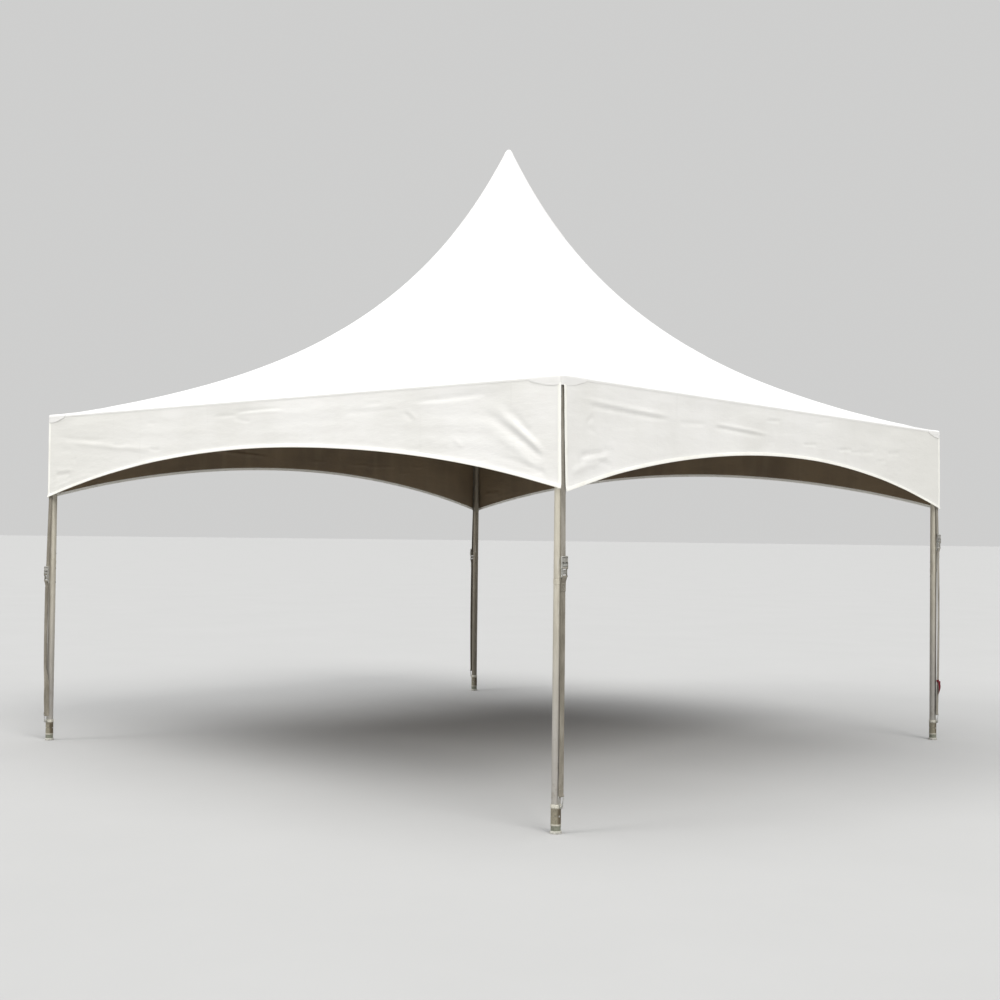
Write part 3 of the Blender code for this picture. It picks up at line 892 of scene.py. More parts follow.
def corner_patch(name, corner):
    grid = []
    for half, z, reach in patch_rows():
        line = []
        for share in np.linspace(-1, 1, PATCH_COLUMNS):
            along = reach * abs(share) ** 1.5
            x, y = (half - along, half) if share < 0 else (half, half - along)
            x, y = x * corner[0], y * corner[1]
            angle = math.atan2(y, x)
            r = float(level_line(half, CORNER_POWER, angle))
            x, y = r * math.cos(angle), r * math.sin(angle)
            line.append((x, y, on_roof(x, y)[0].z if z is None else z))
        grid.append(line)
    grid = np.array(grid)
    normals = grid_normals(grid, False)
    if normals[0, :, :2].mean(0) @ np.array(corner) < 0:
        normals = -normals
    drop = np.arange(len(grid))[:, None]
    across = np.linspace(-1, 1, PATCH_COLUMNS)[None, :]
    gather = GATHER_HIGH * bell(across, 0, 0.10) * bell(drop, GATHER_ROW, 3.0)
    gather -= GATHER_BESIDE * bell(np.abs(across), 0.24, 0.07) * bell(drop, GATHER_ROW, 3.5)
    outer = grid + normals * (PATCH_OUT + gather)[..., None]
    inner = grid + normals * PATCH_IN
    patch = Shape().skin(outer, inner, finishes=(0, 0))
    return patch.piece(f"corner_patch_{name}", "roof_cloth", patch_white, sharp=60)


corner_patches = [corner_patch(name, corner) for name, corner in CORNERS.items()]
print("corner patches:", len(corner_patches))

# %% [markdown]
# ## Creases of the valances
# A valance is a hanging band, and the cloth remembers how it was folded and pulled. A crease is a
# short curve on the band with a width and a height: a ridge where the height is positive, a valley
# where it is negative. The strong ones fan out from a lower corner, where the strap tugs the cloth;
# the long flat ones are old fold marks. Set one by one, and not by a cloth simulation, each one lies
# where the real one is. A crease is three places, along the side and down from the eave, then its width
# and its height, all in millimetres.

# %% Creases of the front valance
FRONT_FAN = [
    ((2215, 430), (2005, 281), (1700, 112), 19, -8),
    ((2215, 402), (2030, 257), (1790, 96), 23, 7.6),
    ((2130, 305), (2040, 218), (1876, 78), 20, -4.2),
    ((2160, 455), (1960, 325), (1660, 160), 26, 4),
    ((2250, 520), (2085, 447), (1850, 396), 12, -5.5),
    ((2200, 486), (2040, 415), (1800, 330), 20, 3),
]
FRONT_LINES = [
    ((1280, 85), (1550, 80), (1860, 58), 12, -2.4),
    ((1300, 106), (1600, 100), (1850, 82), 14, 1.8),
    ((1210, 135), (1250, 165), (1290, 200), 10, -2.8),
    ((1230, 125), (1280, 155), (1320, 185), 10, 2.2),
    ((1440, 45), (1460, 90), (1420, 130), 10, -2.2),
    ((1660, 348), (1620, 322), (1590, 300), 10, 3),
    ((900, 82), (980, 80), (1060, 78), 10, -2.2),
    ((750, 120), (950, 124), (1200, 120), 13, -1.8),
    ((-280, 70), (0, 66), (220, 68), 10, -2.8),
    ((-200, 86), (20, 83), (240, 86), 10, 2.2),
    ((-450, 88), (-320, 90), (-200, 94), 9, -2.6),
    ((-260, 100), (-180, 125), (-80, 135), 10, -2.2),
    ((-2020, 195), (-1600, 240), (-1020, 282), 16, 3.8),
    ((-2120, 163), (-1900, 190), (-1600, 200), 14, -3.4),
    ((-1530, 236), (-1460, 240), (-1380, 243), 9, -2.8),
    ((-1120, 270), (-1060, 281), (-1000, 285), 8, -3),
    ((-2220, 428), (-2120, 421), (-2020, 415), 13, -6),
    ((-2210, 402), (-2100, 398), (-1980, 390), 12, 3),
    ((-2150, 257), (-2080, 255), (-2020, 254), 10, -2.2),
    ((-1980, 300), (-1970, 320), (-1980, 342), 10, -2.2),
    ((-1150, 104), (-1100, 106), (-1040, 109), 9, -2.2),
    ((-2250, 540), (-2050, 480), (-1700, 425), 16, 3),
]
print("front valance:", len(FRONT_FAN), "creases in the fan and", len(FRONT_LINES), "others")

# %% Creases of the right valance
RIGHT_LINES = [
    ((-2150, 112), (-1750, 130), (-1300, 146), 11, 4.6),
    ((-2150, 134), (-1750, 152), (-1300, 166), 11, -5),
    ((-1240, 172), (-1100, 168), (-940, 160), 10, -2.4),
    ((-880, 153), (-600, 163), (-200, 182), 10, 3.4),
    ((-880, 172), (-650, 181), (-280, 198), 11, -3.8),
    ((-280, 96), (-190, 91), (-100, 87), 9, -2.8),
    ((-2120, 242), (-2080, 215), (-2040, 188), 10, -3),
    ((-2130, 262), (-2070, 262), (-2020, 280), 9, -3.4),
    ((-1970, 352), (-1920, 362), (-1860, 362), 8, -2.8),
    ((-2170, 407), (-2060, 392), (-1940, 380), 13, -6),
    ((-2140, 424), (-2020, 407), (-1900, 396), 13, 5),
    ((-2240, 500), (-2120, 455), (-1960, 430), 16, 4.4),
    ((-2030, 420), (-1950, 430), (-1870, 447), 9, -3.4),
    ((180, 216), (280, 212), (380, 207), 9, -2.4),
    ((350, 68), (480, 56), (620, 47), 9, -2.2),
    ((680, 225), (780, 219), (890, 214), 8, -3.2),
    ((840, 234), (950, 228), (1060, 221), 9, -2.4),
    ((1040, 224), (1120, 220), (1220, 213), 9, -2.4),
    ((1240, 277), (1320, 270), (1420, 261), 9, -2),
    ((1420, 217), (1500, 208), (1640, 201), 10, -2.4),
    ((1900, 60), (2050, 62), (2220, 70), 12, -1.6),
]


def mirrored(creases):
    return [tuple((-x, d) for x, d in crease[:3]) + crease[3:] for crease in creases]


FANS = {"front": FRONT_FAN, "right": [], "back": mirrored(FRONT_FAN), "left": []}
LINES = {"front": FRONT_LINES, "right": RIGHT_LINES}
LINES |= {"back": mirrored(FRONT_LINES), "left": mirrored(RIGHT_LINES)}
CRISP = {"front": 1.0, "right": 1.35, "back": 1.0, "left": 1.35}
print({side: len(FANS[side]) + len(LINES[side]) for side in SIDES}, "creases a side")

# %% [markdown]
# ## Valance cloth
# A valance starts behind the flap of the roof and ends in an arched hem. Its grid is finest near the
# corners. The height of every point over the flat band is the sum of its creases, a few long slow
# waves and the flare of the stiff hem; it is held down along the eave, and beside the legs it can't go
# back into the straps. The hem and the stitches ask the same function where the cloth is.

# %% Valance surface
VALANCE_TOP = 0.008             # the cloth starts this far below the eave, behind the flap
SET_BACK = 1.3 * MM             # the valance hangs this far behind the roof's flap
VALANCE_ROWS, VALANCE_HALF = 40, 150
VALANCE_CROWDING = 1.25         # above 1, the columns crowd towards the corners
WAVE_HIGH, RIPPLE_LOW, HEM_FLARE = 2.4 * MM, 0.55 * MM, 5.0 * MM
# The edge of a slit from the corner of the roof: left top, left bottom, right top, right bottom.
SLITS = {
    "front": (0.012, 0.016, 0.0045, -0.0030),
    "right": (0.021, 0.044, 0.012, 0.016),
    "back": (0.012, 0.018, 0.013, 0.020),
    "left": (0.012, 0.024, 0.012, 0.016),
}
# How much lower the hem hangs than the even arch: at its left and right end, and in the middle.
DROOP = {"front": (0.000, 0.003), "right": (0.013, 0.000), "back": (0.004, 0.004), "left": (0.004, 0.006)}
FRONT_RIGHT_LIFT = 0.016        # the right half of the front hem is pulled up by this much
MIDDLE_DROOP = {"right": 0.005}


def hem_depth(side, x):
    """How far below the eave the hem hangs: an arch, and what this side adds to it."""
    corner = smooth(1.75, 2.30, np.abs(x)) * np.where(x < 0, *DROOP[side])
    if side == "front":
        corner = corner - FRONT_RIGHT_LIFT * smooth(0.3, 2.1, x)
    middle = DROP_MIDDLE + MIDDLE_DROOP.get(side, 0.0)
    return middle + (DROP_CORNER - middle) * (x / HALF) ** 2 + corner


def crease_height(x, d, crease, fan):
    """Height of one crease: a bell across it, and soft ends along it."""
    first, bend, last = (np.array(point) * MM for point in crease[:3])
    width, height = (size * MM for size in crease[3:])
    steps = np.linspace(0, 1, 20)[:, None]
    control = 2 * bend - (first + last) / 2
    line = (1 - steps) ** 2 * first + 2 * steps * (1 - steps) * control + steps ** 2 * last
    nearest = np.full(x.shape, 9.0)
    place = np.zeros(x.shape)
    for i, (a, b) in enumerate(zip(line, line[1:])):
        run = b - a
        share = np.clip(((x - a[0]) * run[0] + (d - a[1]) * run[1]) / (run @ run), 0, 1)
        away = np.hypot(x - a[0] - share * run[0], d - a[1] - share * run[1])
        closer = away < nearest
        nearest = np.where(closer, away, nearest)
        place = np.where(closer, (i + share) / (len(line) - 1), place)
    ends = smooth(0, 0.20, place) * (smooth(1, 0.30, place) if fan else smooth(1, 0.78, place))
    spread = width * (0.62 + 0.75 * place) if fan else width
    return height * np.exp(-(nearest / spread) ** 2) * ends


def valance_proud(side, x, d):
    """How far the valance stands outside its flat band."""
    proud = np.zeros(np.broadcast(x, d).shape)
    for crease in FANS[side]:
        proud += crease_height(x, d, crease, True)
    for crease in LINES[side]:
        proud += CRISP[side] * crease_height(x, d, crease, False)
    phase = 1.7 * SIDES[side] / 90
    slow = np.sin(x * 2.9 + phase) + 0.6 * np.sin(x * 6.3 + 2 * phase + 5 * d)
    slow = slow + 0.4 * np.sin(x * 12.7 + 9 * d)
    ripple = np.sin(d * 62 + 2.2 * np.sin(x * 1.9 + phase)) * (0.6 + 0.4 * np.sin(x * 4.7 + phase))
    proud = proud + WAVE_HIGH * slow + RIPPLE_LOW * ripple
    proud = proud * smooth(VALANCE_TOP + 0.012, VALANCE_TOP + 0.075, d)
    hem = hem_depth(side, x)
    proud = proud + HEM_FLARE * smooth(hem - 0.030, hem, d)
    beside_leg = smooth(HALF - 0.10, HALF - 0.03, np.abs(x))
    return np.where(proud < 0, proud * (1 - beside_leg), proud)


def valance_spot(side, x, d, out=0.0):
    """World points of the valance's outer face at x and d; out moves them off the face."""
    x, d = np.broadcast_arrays(np.asarray(x, float), np.asarray(d, float))
    local = np.stack([x, -(EDGE - SET_BACK) - valance_proud(side, x, d) - out, EAVE_Z - d], -1)
    return local @ facing(side).T


def slit_edge(side, share, right):
    """Half width of the band where its slit is open by share of the way down."""
    top, bottom = SLITS[side][2:] if right else SLITS[side][:2]
    return EDGE - (top + (bottom - top) * share)


def valance_grid(side):
    spread = np.linspace(-1, 1, 2 * VALANCE_HALF + 1)
    columns = np.sign(spread) * (1 - (1 - np.abs(spread)) ** VALANCE_CROWDING)
    share = np.linspace(0, 1, VALANCE_ROWS)[:, None]
    left, right = -slit_edge(side, share, False), slit_edge(side, share, True)
    x = (left + right) / 2 + (right - left) / 2 * columns[None, :]
    d = VALANCE_TOP + (hem_depth(side, x) - VALANCE_TOP) * share
    return x, d


def outwards(side):
    """The way that a side of the tent faces."""
    return facing(side) @ np.array([0, -1, 0])


def make_valance(side):
    x, d = valance_grid(side)
    outer = valance_spot(side, x, d)
    normals = grid_normals(outer, False)
    if normals.reshape(-1, 3).mean(0) @ outwards(side) < 0:
        normals = -normals
    shape = Shape().skin(outer, outer - normals * CLOTH_THICK)
    return shape.piece(f"valance_cloth_{side}", "valance_cloth", valance_white, painted_shade_backing,
                       replaces=[f"valance_{side}"], sharp=60)


valances = {side: make_valance(side) for side in SIDES}
print("valance faces:", {side: len(made.data.polygons) for side, made in valances.items()})

# %% [markdown]
# ## Hems
# The arched hem is bound with a tape that is folded round the edge, and each slit has a narrow turned
# edge. Both are the same folded section carried along an edge, and lie on every crease that runs in.

# %% Hem tape
HEM_WIDTH, HEM_THICK = 18 * MM, 0.9 * MM
SLIT_WIDTH, SLIT_THICK = 20 * MM, 0.5 * MM
SLIT_START = SLIT_TOP - 0.010
# Across the folded tape: the share of its width back from the edge, and the thicknesses out of the cloth.
TAPE_SECTION = (
    (1.0, 0.2), (0.98, 1.0), (0.6, 1.25), (0.2, 1.2), (0.0, 1.0),
    (-0.10, 0.0), (0.0, -2.0), (0.2, -2.3), (0.9, -2.2), (1.0, -1.3),
)


def bind_edge(shape, side, x, d, back_x, back_d, width, thick):
    """A tape folded round an edge: x, d is the edge, the back pair points into the cloth."""
    rows = []
    for share, out in TAPE_SECTION:
        back = share * width
        rows.append(valance_spot(side, x + back_x * back, d + back_d * back, out * thick))
    return shape.loft(np.stack(rows, 1))


def hem_line(side, count, back=0.0):
    x = np.linspace(-slit_edge(side, 1, False), slit_edge(side, 1, True), count)
    return x, hem_depth(side, x) - back


def slit_line(side, right, count, back=0.0):
    share = np.linspace(0, 1, count)
    x = slit_edge(side, share, right) - back
    d = SLIT_START + (hem_depth(side, x) - SLIT_START) * share
    return (x if right else -x), d


def make_hem(side):
    shape = Shape()
    x, d = hem_line(side, 321)
    bind_edge(shape, side, x, d, 0, -1, HEM_WIDTH, HEM_THICK)
    for right in (False, True):
        x, d = slit_line(side, right, 61)
        bind_edge(shape, side, x, d, -1 if right else 1, 0, SLIT_WIDTH, SLIT_THICK)
    return shape.piece(f"hem_{side}", "valance_cloth", hem_tape, sharp=50)


hems = {side: make_hem(side) for side in SIDES}
print("hem faces:", len(hems["front"].data.polygons))

# %% [markdown]
# ## Stitches
# A row of stitches runs along each hem, each slit and the flap of the roof. A stitch is a tiny stretched
# octahedron, long enough to read as thread and cheap enough to set by the thousand. A row is worked out
# at once as arrays.

# %% Stitches
STITCH_LONG, STITCH_PITCH, STITCH_WIDE, STITCH_HIGH = 4.2 * MM, 6.5 * MM, 1.0 * MM, 0.5 * MM
HEM_STITCH_BACK, SLIT_STITCH_BACK, FLAP_STITCH_UP = 13 * MM, 15 * MM, 6 * MM
OCTAHEDRON = [(0, 2, 4), (2, 1, 4), (1, 3, 4), (3, 0, 4), (2, 0, 5), (1, 2, 5), (3, 1, 5), (0, 3, 5)]


def sew(shape, line, out, finish=0):
    """Stitches along a line of points; out is the way the cloth faces at each."""
    line, out = np.asarray(line), np.asarray(out)
    lengths = np.r_[0, np.cumsum(np.linalg.norm(np.diff(line, axis=0), axis=1))]
    places = np.arange(STITCH_PITCH / 2, lengths[-1] - STITCH_PITCH / 2, STITCH_PITCH)
    middles = np.stack([np.interp(places, lengths, line[:, axis]) for axis in range(3)], 1)
    outs = np.stack([np.interp(places, lengths, out[:, axis]) for axis in range(3)], 1)
    ahead = np.gradient(middles, axis=0)
    ahead /= np.linalg.norm(ahead, axis=1, keepdims=True)
    beside = np.cross(ahead, outs)
    points = np.stack([
        middles - ahead * STITCH_LONG / 2, middles + ahead * STITCH_LONG / 2,
        middles - beside * STITCH_WIDE / 2, middles + beside * STITCH_WIDE / 2,
        middles + outs * STITCH_HIGH, middles - outs * STITCH_HIGH,
    ], 1)
    faces = (np.array(OCTAHEDRON)[None] + 6 * np.arange(len(middles))[:, None, None]).reshape(-1, 3)
    return shape.add(points, faces, finish)


def make_stitches(side):
    shape = Shape()
    out = outwards(side)
    x, d = hem_line(side, 500, HEM_STITCH_BACK)
    sew(shape, valance_spot(side, x, d, HEM_THICK + 0.4 * MM), np.tile(out, (len(x), 1)))
    for right in (False, True):
        x, d = slit_line(side, right, 60, SLIT_STITCH_BACK)
        sew(shape, valance_spot(side, x, d, SLIT_THICK + 0.2 * MM), np.tile(out, (len(x), 1)))
    x = np.linspace(-EDGE + 0.03, EDGE - 0.03, 60)
    level = np.full_like(x, EAVE_Z - FLAP + FLAP_STITCH_UP)
    flap = np.stack([x, np.full_like(x, -EDGE), level], 1) @ facing(side).T
    sew(shape, flap, np.tile(out, (len(x), 1)))
    return shape.piece(f"stitches_{side}", "valance_cloth", sewing_thread, sharp=80)


stitches = {side: make_stitches(side) for side in SIDES}
print("stitch faces a side:", len(stitches["front"].data.polygons))

# %% [markdown]
# ## Cut sizes and areas of the cloth
# A sheet has the size that it was cut to. The roof is four gores; laid head to tail they come out of a
# strip as wide as a gore's slant and as long as two eaves. Each valance is cut from one straight strip,
# whose size is worked out below. The area is measured on the backing, which has no rim.

# %% Sheets
HEM_TURNING = 0.02


def one_face_area(made, finish):
    return sum(face.area for face in made.data.polygons if face.material_index == finish)


roof_area = one_face_area(roof_piece, 1)
for side, made in valances.items():
    cut = (2 * EDGE, float(hem_depth(side, np.array(HALF))) + HEM_TURNING)
    one_face_area(made, 1)
print("roof cloth", round(roof_area, 2), "m2; a valance", round(one_face_area(valances["front"], 1), 2), "m2")

# %% [markdown]
# ## Bars, hooks and turned places
# Rings, shackles and springs are bent bars. `bent_bar` carries a round section along a path and turns
# it no more than the path does. `frame_matrix` gives a place whose Z runs the way that is asked for, so
# that a pipe or a bolt is drawn once, upright, and then stands or lies where it belongs.

# %% Bent bars and places
def bent_bar(shape, path, radius, sides=10, closed=False, finish=0):
    """A round bar along a path of points."""
    path = [Vector(point) for point in path]
    count = len(path)
    ahead = []
    for i in range(count):
        before = path[i - 1] if closed or i else path[0]
        after = path[(i + 1) % count] if closed or i < count - 1 else path[-1]
        ahead.append((after - before).normalized())
    side = ahead[0].orthogonal().normalized()
    rings = []
    for i in range(count):
        if i:
            side = (side - ahead[i] * side.dot(ahead[i])).normalized()
        up = ahead[i].cross(side)
        turns = [2 * math.pi * j / sides for j in range(sides)]
        rings.append([path[i] + (side * math.cos(turn) + up * math.sin(turn)) * radius for turn in turns])
    return shape.loft(rings, finish, closed=closed)


def frame_matrix(origin, x_axis, z_axis):
    """A place whose Z is z_axis, and whose X is x_axis made square to it."""
    z_axis = Vector(z_axis).normalized()
    x_axis = Vector(x_axis)
    x_axis = (x_axis - z_axis * x_axis.dot(z_axis)).normalized()
    turn = Matrix((x_axis, z_axis.cross(x_axis), z_axis)).transposed()
    return Matrix.Translation(origin) @ turn.to_4x4()


def arc(middle, radius, start, end, count):
    """Points of an arc in a plane; the angles are in degrees."""
    turns = np.radians(np.linspace(start, end, count))
    return [(middle[0] + radius * math.cos(a), middle[1] + radius * math.sin(a)) for a in turns]


def bulge(radius, middle, high, turns):
    """A rounded profile of (radius, height) pairs about a middle height; the turns are in degrees."""
    return [(radius * math.cos(a), middle + high * math.sin(a)) for a in np.radians(turns)]


def hex_bolt(shape, place, across_flats=0.013, high=0.0055, finish=0):
    """A washer, a hexagon head and the round crown on it, standing on the XY plane of place."""
    washer = [(across_flats * 0.80, 0), (across_flats * 0.80, 0.0012), (across_flats * 0.76, 0.0016)]
    shape.turned(washer, 28, finish, place)
    head = place @ Matrix.Translation((0, 0, 0.0014))
    hexagon = arc((0, 0), across_flats / math.sqrt(3), 0, 300, 6)
    shape.plate(hexagon, high, head, 0.0007, finish)
    crown = [(across_flats * 0.42, 0), (across_flats * 0.40, high + 0.0005), (0.0004, high + 0.0008)]
    shape.turned(crown, 24, finish, head)
    return shape


def leg_point(corner, z=0.0):
    """A point on the axis of a leg."""
    return Vector((corner[0] * HALF, corner[1] * HALF, z))


print("bar and place helpers ready")

# %% [markdown]
# ## Legs
# Each leg is two tubes of one size. The lower one ends in a swaged collar that the upper one stands on,
# and a spring button holds the two together. Below the collar two more holes show where the leg can be
# set lower. The tubes are open thin-walled pipes, so their ends show a wall and not a lid: a closed
# profile of the wall is turned about the axis.

# %% Legs
WALL, PIPE_BEVEL, PIPE_SIDES = 2.4 * MM, 0.9 * MM, 64
PIPE_GAP = 0.5 * MM             # left open where two parts of a leg meet
COLLAR_HIGH, COLLAR_PROUD = 0.030, 1.2 * MM
BUTTON_Z = JOINT_Z + 0.045
HOLES_Z = (JOINT_Z - 0.060, JOINT_Z - 0.160)


def pipe(shape, low, high, place=None, collar=None):
    """An open pipe; a collar is the (low, high) of a band that is swaged out of it."""
    outer = [(TUBE_R - PIPE_BEVEL, low), (TUBE_R, low + PIPE_BEVEL)]
    if collar:
        start, end = collar
        proud = TUBE_R + COLLAR_PROUD
        outer += [(TUBE_R, start), (proud, start + COLLAR_PROUD), (proud, end - COLLAR_PROUD), (TUBE_R, end)]
    outer += [(TUBE_R, high - PIPE_BEVEL), (TUBE_R - PIPE_BEVEL, high)]
    inner = [(TUBE_R - WALL, high), (TUBE_R - WALL, low)]
    return shape.loft(turned_rows(outer + inner, PIPE_SIDES), 0, place, closed=True)


def spring_button(shape, base, out, z):
    """The domed button of a spring clip in its hole, with the pressed rim round it."""
    place = frame_matrix(base + out * (TUBE_R - 1.4 * MM) + Vector((0, 0, z)), (0, 0, 1), out)
    rim = [(0.0064, 0), (0.0064, 0.0016), (0.0057, 0.0022), (0.0050, 0.0022), (0.0048, 0.0012)]
    shape.turned(rim, 28, 1, place)
    dome = bulge(BUTTON_R, 0.0012, 0.0034, (0, 20, 40, 60, 80, 88))
    shape.turned([(BUTTON_R, 0), *dome], 24, 1, place)
    return shape


def adjusting_hole(shape, base, out, z):
    """A pressed hole in the leg; its near-black bottom is a painted shadow."""
    place = frame_matrix(base + out * (TUBE_R - 0.9 * MM) + Vector((0, 0, z)), (0, 0, 1), out)
    hole = [(0.0056, 0), (0.0056, 0.0010), (0.0050, 0.0014), (0.0044, 0.0010), (0.0042, 0.0004)]
    return shape.turned(hole, 24, 1, place)


BUTTON_R = 4.2 * MM
ARM = 0.090                     # length of a socket of the corner fitting
# the back left leg takes the dark copy of the leg metal, which paints the shade under the roof
LEG_FINISH = {"back_left": shaded_leg_metal}


def make_leg(name, corner):
    base = leg_point(corner)
    metal = LEG_FINISH.get(name, leg_metal)
    out = Vector((-corner[0], -corner[1], 0)).normalized()
    stand = Matrix.Translation(base)
    lower = Shape()
    pipe(lower, FOOT_TOP + PIPE_GAP, JOINT_Z, stand, collar=(JOINT_Z - COLLAR_HIGH, JOINT_Z - 1.6 * MM))
    for z in HOLES_Z:
        adjusting_hole(lower, base, out, z)
    lower.piece(f"leg_tube_lower_{name}", "frame_tube", metal, painted_hole_shadow, replaces=[f"leg_lower_{name}"],
                at=base)
    upper = Shape()
    pipe(upper, JOINT_Z + 0.6 * MM, BEAM_Z - ARM - PIPE_GAP, stand)
    spring_button(upper, base, out, BUTTON_Z)
    upper.piece(f"leg_tube_upper_{name}", "frame_tube", metal, zinc, replaces=[f"leg_upper_{name}"], at=base)


for name, corner in CORNERS.items():
    make_leg(name, corner)
print("legs made")

# %% [markdown]
# ## Feet
# A foot is a turned steel part: a small round plate on the ground, a slimmer spigot with a pale rim, a
# brown sleeve with one side painted dark as shade, and a bright ring under the leg. A pin sticks out of
# the ring on the side of the strap, and the ring of the strap hangs on it behind its round head. All
# but the pin and the screws is one profile turned about the leg's axis, with a fillet wherever two
# widths meet to catch the light.

# %% Feet
PLATE_R, COLLAR_R, RING_OUT_R, SPIGOT_R, SLEEVE_R = 0.0310, 0.0275, 0.0280, 0.0255, 0.0262
PIN_R, PIN_HEAD_R, PIN_HEAD = 0.0070, 0.0105, 0.0070
SCREW_Z = 0.088
# (radius, height) from the ground up: plate, spigot, pale rim, sleeve, ring.
FOOT_PROFILE = [
    (0.0275, 0.0), (0.0302, 0.0006), (PLATE_R, 0.0020), (PLATE_R, 0.0108), (0.0303, 0.0124),
    (0.0288, 0.0130), (0.0262, 0.0133), (0.0256, 0.0145), (SPIGOT_R, 0.0165), (SPIGOT_R, 0.0370),
    (0.0263, 0.0380), (0.0274, 0.0392), (COLLAR_R, 0.0405), (COLLAR_R, 0.0455), (0.0270, 0.0470),
    (0.0264, 0.0482), (SLEEVE_R, 0.0500), (SLEEVE_R, 0.1262), (0.0268, 0.1276), (RING_OUT_R, 0.1290),
    (RING_OUT_R, 0.1445), (0.0274, 0.1460), (SLEEVE_R, FOOT_TOP), (TUBE_R - 0.004, FOOT_TOP),
]
STRAP_SIDES = {"front_right": (1, 0), "back_right": (1, 0), "back_left": (-1, 0), "front_left": (0, -1)}
STRAP_WIDE, STRAP_THICK = 0.038, 0.003
STRAP_AT_TOP, STRAP_AT_FOOT, STRAP_FREE = 0.0271, 0.032, 1.70
STRAP_BOW = {"front_right": 0.003, "back_right": 0.012, "back_left": 0.012, "front_left": 0.012}


def strap_offset(name, z):
    """Distance of a strap's middle from the axis of its leg; it bows out half way down."""
    if z >= STRAP_FREE:
        return STRAP_AT_TOP
    share = max(0.0, (z - PIN_Z) / (STRAP_FREE - PIN_Z))
    bow = STRAP_BOW[name] * math.sin(math.pi * share)
    return STRAP_AT_FOOT + (STRAP_AT_TOP - STRAP_AT_FOOT) * share + bow


def make_foot(name, corner):
    base = leg_point(corner)
    out = Vector((*STRAP_SIDES[name], 0))
    foot = Shape()
    foot.turned(FOOT_PROFILE, 72, 0, Matrix.Translation(base))
    reach = strap_offset(name, PIN_Z + PIN_HEAD_R) + STRAP_THICK / 2 + 0.0005
    place = frame_matrix(base + Vector((0, 0, PIN_Z)), (0, 0, 1), out)
    foot.turned([(PIN_R, 0.020), (PIN_R, reach + PIN_HEAD / 2)], 32, 1, place)
    crown = bulge(PIN_HEAD_R, reach + PIN_HEAD * 0.62, PIN_HEAD * 0.38, (0, 20, 42, 64, 84))
    foot.turned([(PIN_HEAD_R - 0.0008, reach), (PIN_HEAD_R, reach + 0.0008), *crown], 36, 1, place)
    screw = [(0.0045, 0), (0.0045, 0.0014), (0.0036, 0.0022), (0.0016, 0.0022), (0.0014, 0.0012)]
    for turn in (110, 230, 350):
        way = Matrix.Rotation(math.radians(turn), 3, "Z") @ out
        spot = base + way * (SLEEVE_R - 0.0012) + Vector((0, 0, SCREW_Z))
        foot.turned(screw, 20, 1, frame_matrix(spot, (0, 0, 1), way))
    foot.piece(f"foot_turned_{name}", "foot_metal", foot_metal, zinc, replaces=[f"foot_{name}"], at=base)


for name, corner in CORNERS.items():
    make_foot(name, corner)
print("feet made")

# %% [markdown]
# ## Corner fittings
# The cast corner takes the leg from below and two beams from the inside. Each arm ends in a thicker
# lip, a bolt goes through it, and a lug on the inner side carries the wire rope. Three turned arms run
# into a ball: overlapping solids look like one casting and need no boolean.

# %% Corner fittings
LUG_REACH, LUG_DROP, LUG_R, LUG_THICK = 0.055, 0.020, 0.018, 0.010
LIP_PROUD = 0.8 * MM
BOLT_SUNK = 0.6 * MM            # a washer's flat underside dips this far into the round tube


def corner_arm(shape, origin, direction):
    """One socket of the casting, with a lip at its mouth."""
    place = frame_matrix(origin, (0.3, 0.2, 1.0) if abs(direction.z) < 0.5 else (1, 0, 0), direction)
    lip = TUBE_R + LIP_PROUD
    return shape.turned([
        (TUBE_R - 0.002, 0.0), (TUBE_R, 0.002), (TUBE_R, ARM - 0.016), (lip, ARM - 0.014),
        (lip, ARM - 0.002), (TUBE_R - 0.001, ARM - 0.0002), (TUBE_R - WALL, ARM - 0.0002),
    ], 56, 0, place)


def make_corner(name, corner):
    origin = leg_point(corner, BEAM_Z)
    fitting = Shape()
    inward = Vector((-corner[0], -corner[1], 0)).normalized()
    arms = (DOWN, Vector((-corner[0], 0, 0)), Vector((0, -corner[1], 0)))
    for direction in arms:
        corner_arm(fitting, origin, direction)
    ball_r = TUBE_R * 0.999     # a hair smaller than the arms, so that their skins don't fight
    fitting.turned(bulge(ball_r, 0, ball_r, np.linspace(-86, 86, 22)), 56, 0, Matrix.Translation(origin))
    across = Vector((inward.y, -inward.x, 0))
    nose = arc((LUG_REACH - LUG_R, -LUG_DROP), LUG_R, -70, 70, 15)
    lug = [(0.010, -0.038), (0.040, -0.038), *nose, (0.040, -0.004), (0.010, -0.004)]
    fitting.plate(lug, LUG_THICK, frame_matrix(origin - across * (LUG_THICK / 2), inward, across), 0.0012)
    for direction, square in zip(arms, (inward, DOWN, DOWN)):
        spot = origin + direction * (ARM * 0.55) + square * (TUBE_R - BOLT_SUNK)
        hex_bolt(fitting, frame_matrix(spot, direction, square), finish=1)
    fitting.piece(f"corner_casting_{name}", "cast_fitting", cast_metal, zinc,
                  replaces=[f"corner_{name}"], at=origin)


for name, corner in CORNERS.items():
    make_corner(name, corner)
print("corner fittings made")

# %% [markdown]
# ## Beams
# Four beams of the same tube join the corners just under the cloth. Each object's own Z runs along the
# tube, so that the finish made for standing legs draws its lines the right way.

# %% Beams
def make_beam(side):
    turned = facing(side)
    middle = Vector(turned @ np.array([0, -HALF, BEAM_Z]))
    along = Vector(turned @ np.array([1, 0, 0]))
    reach = HALF - ARM - PIPE_GAP
    place = frame_matrix(middle, (0, 0, 1), along)
    beam = Shape()
    pipe(beam, -reach, reach, place)
    for end in (-1, 1):
        spot = middle + along * (end * (reach - 0.022)) + DOWN * (TUBE_R - BOLT_SUNK)
        hex_bolt(beam, frame_matrix(spot, along, DOWN), 0.011, 0.0045, finish=1)
    beam.piece(f"beam_tube_{side}", "frame_tube", beam_metal, zinc, replaces=[f"eave_{side}"], at=place)


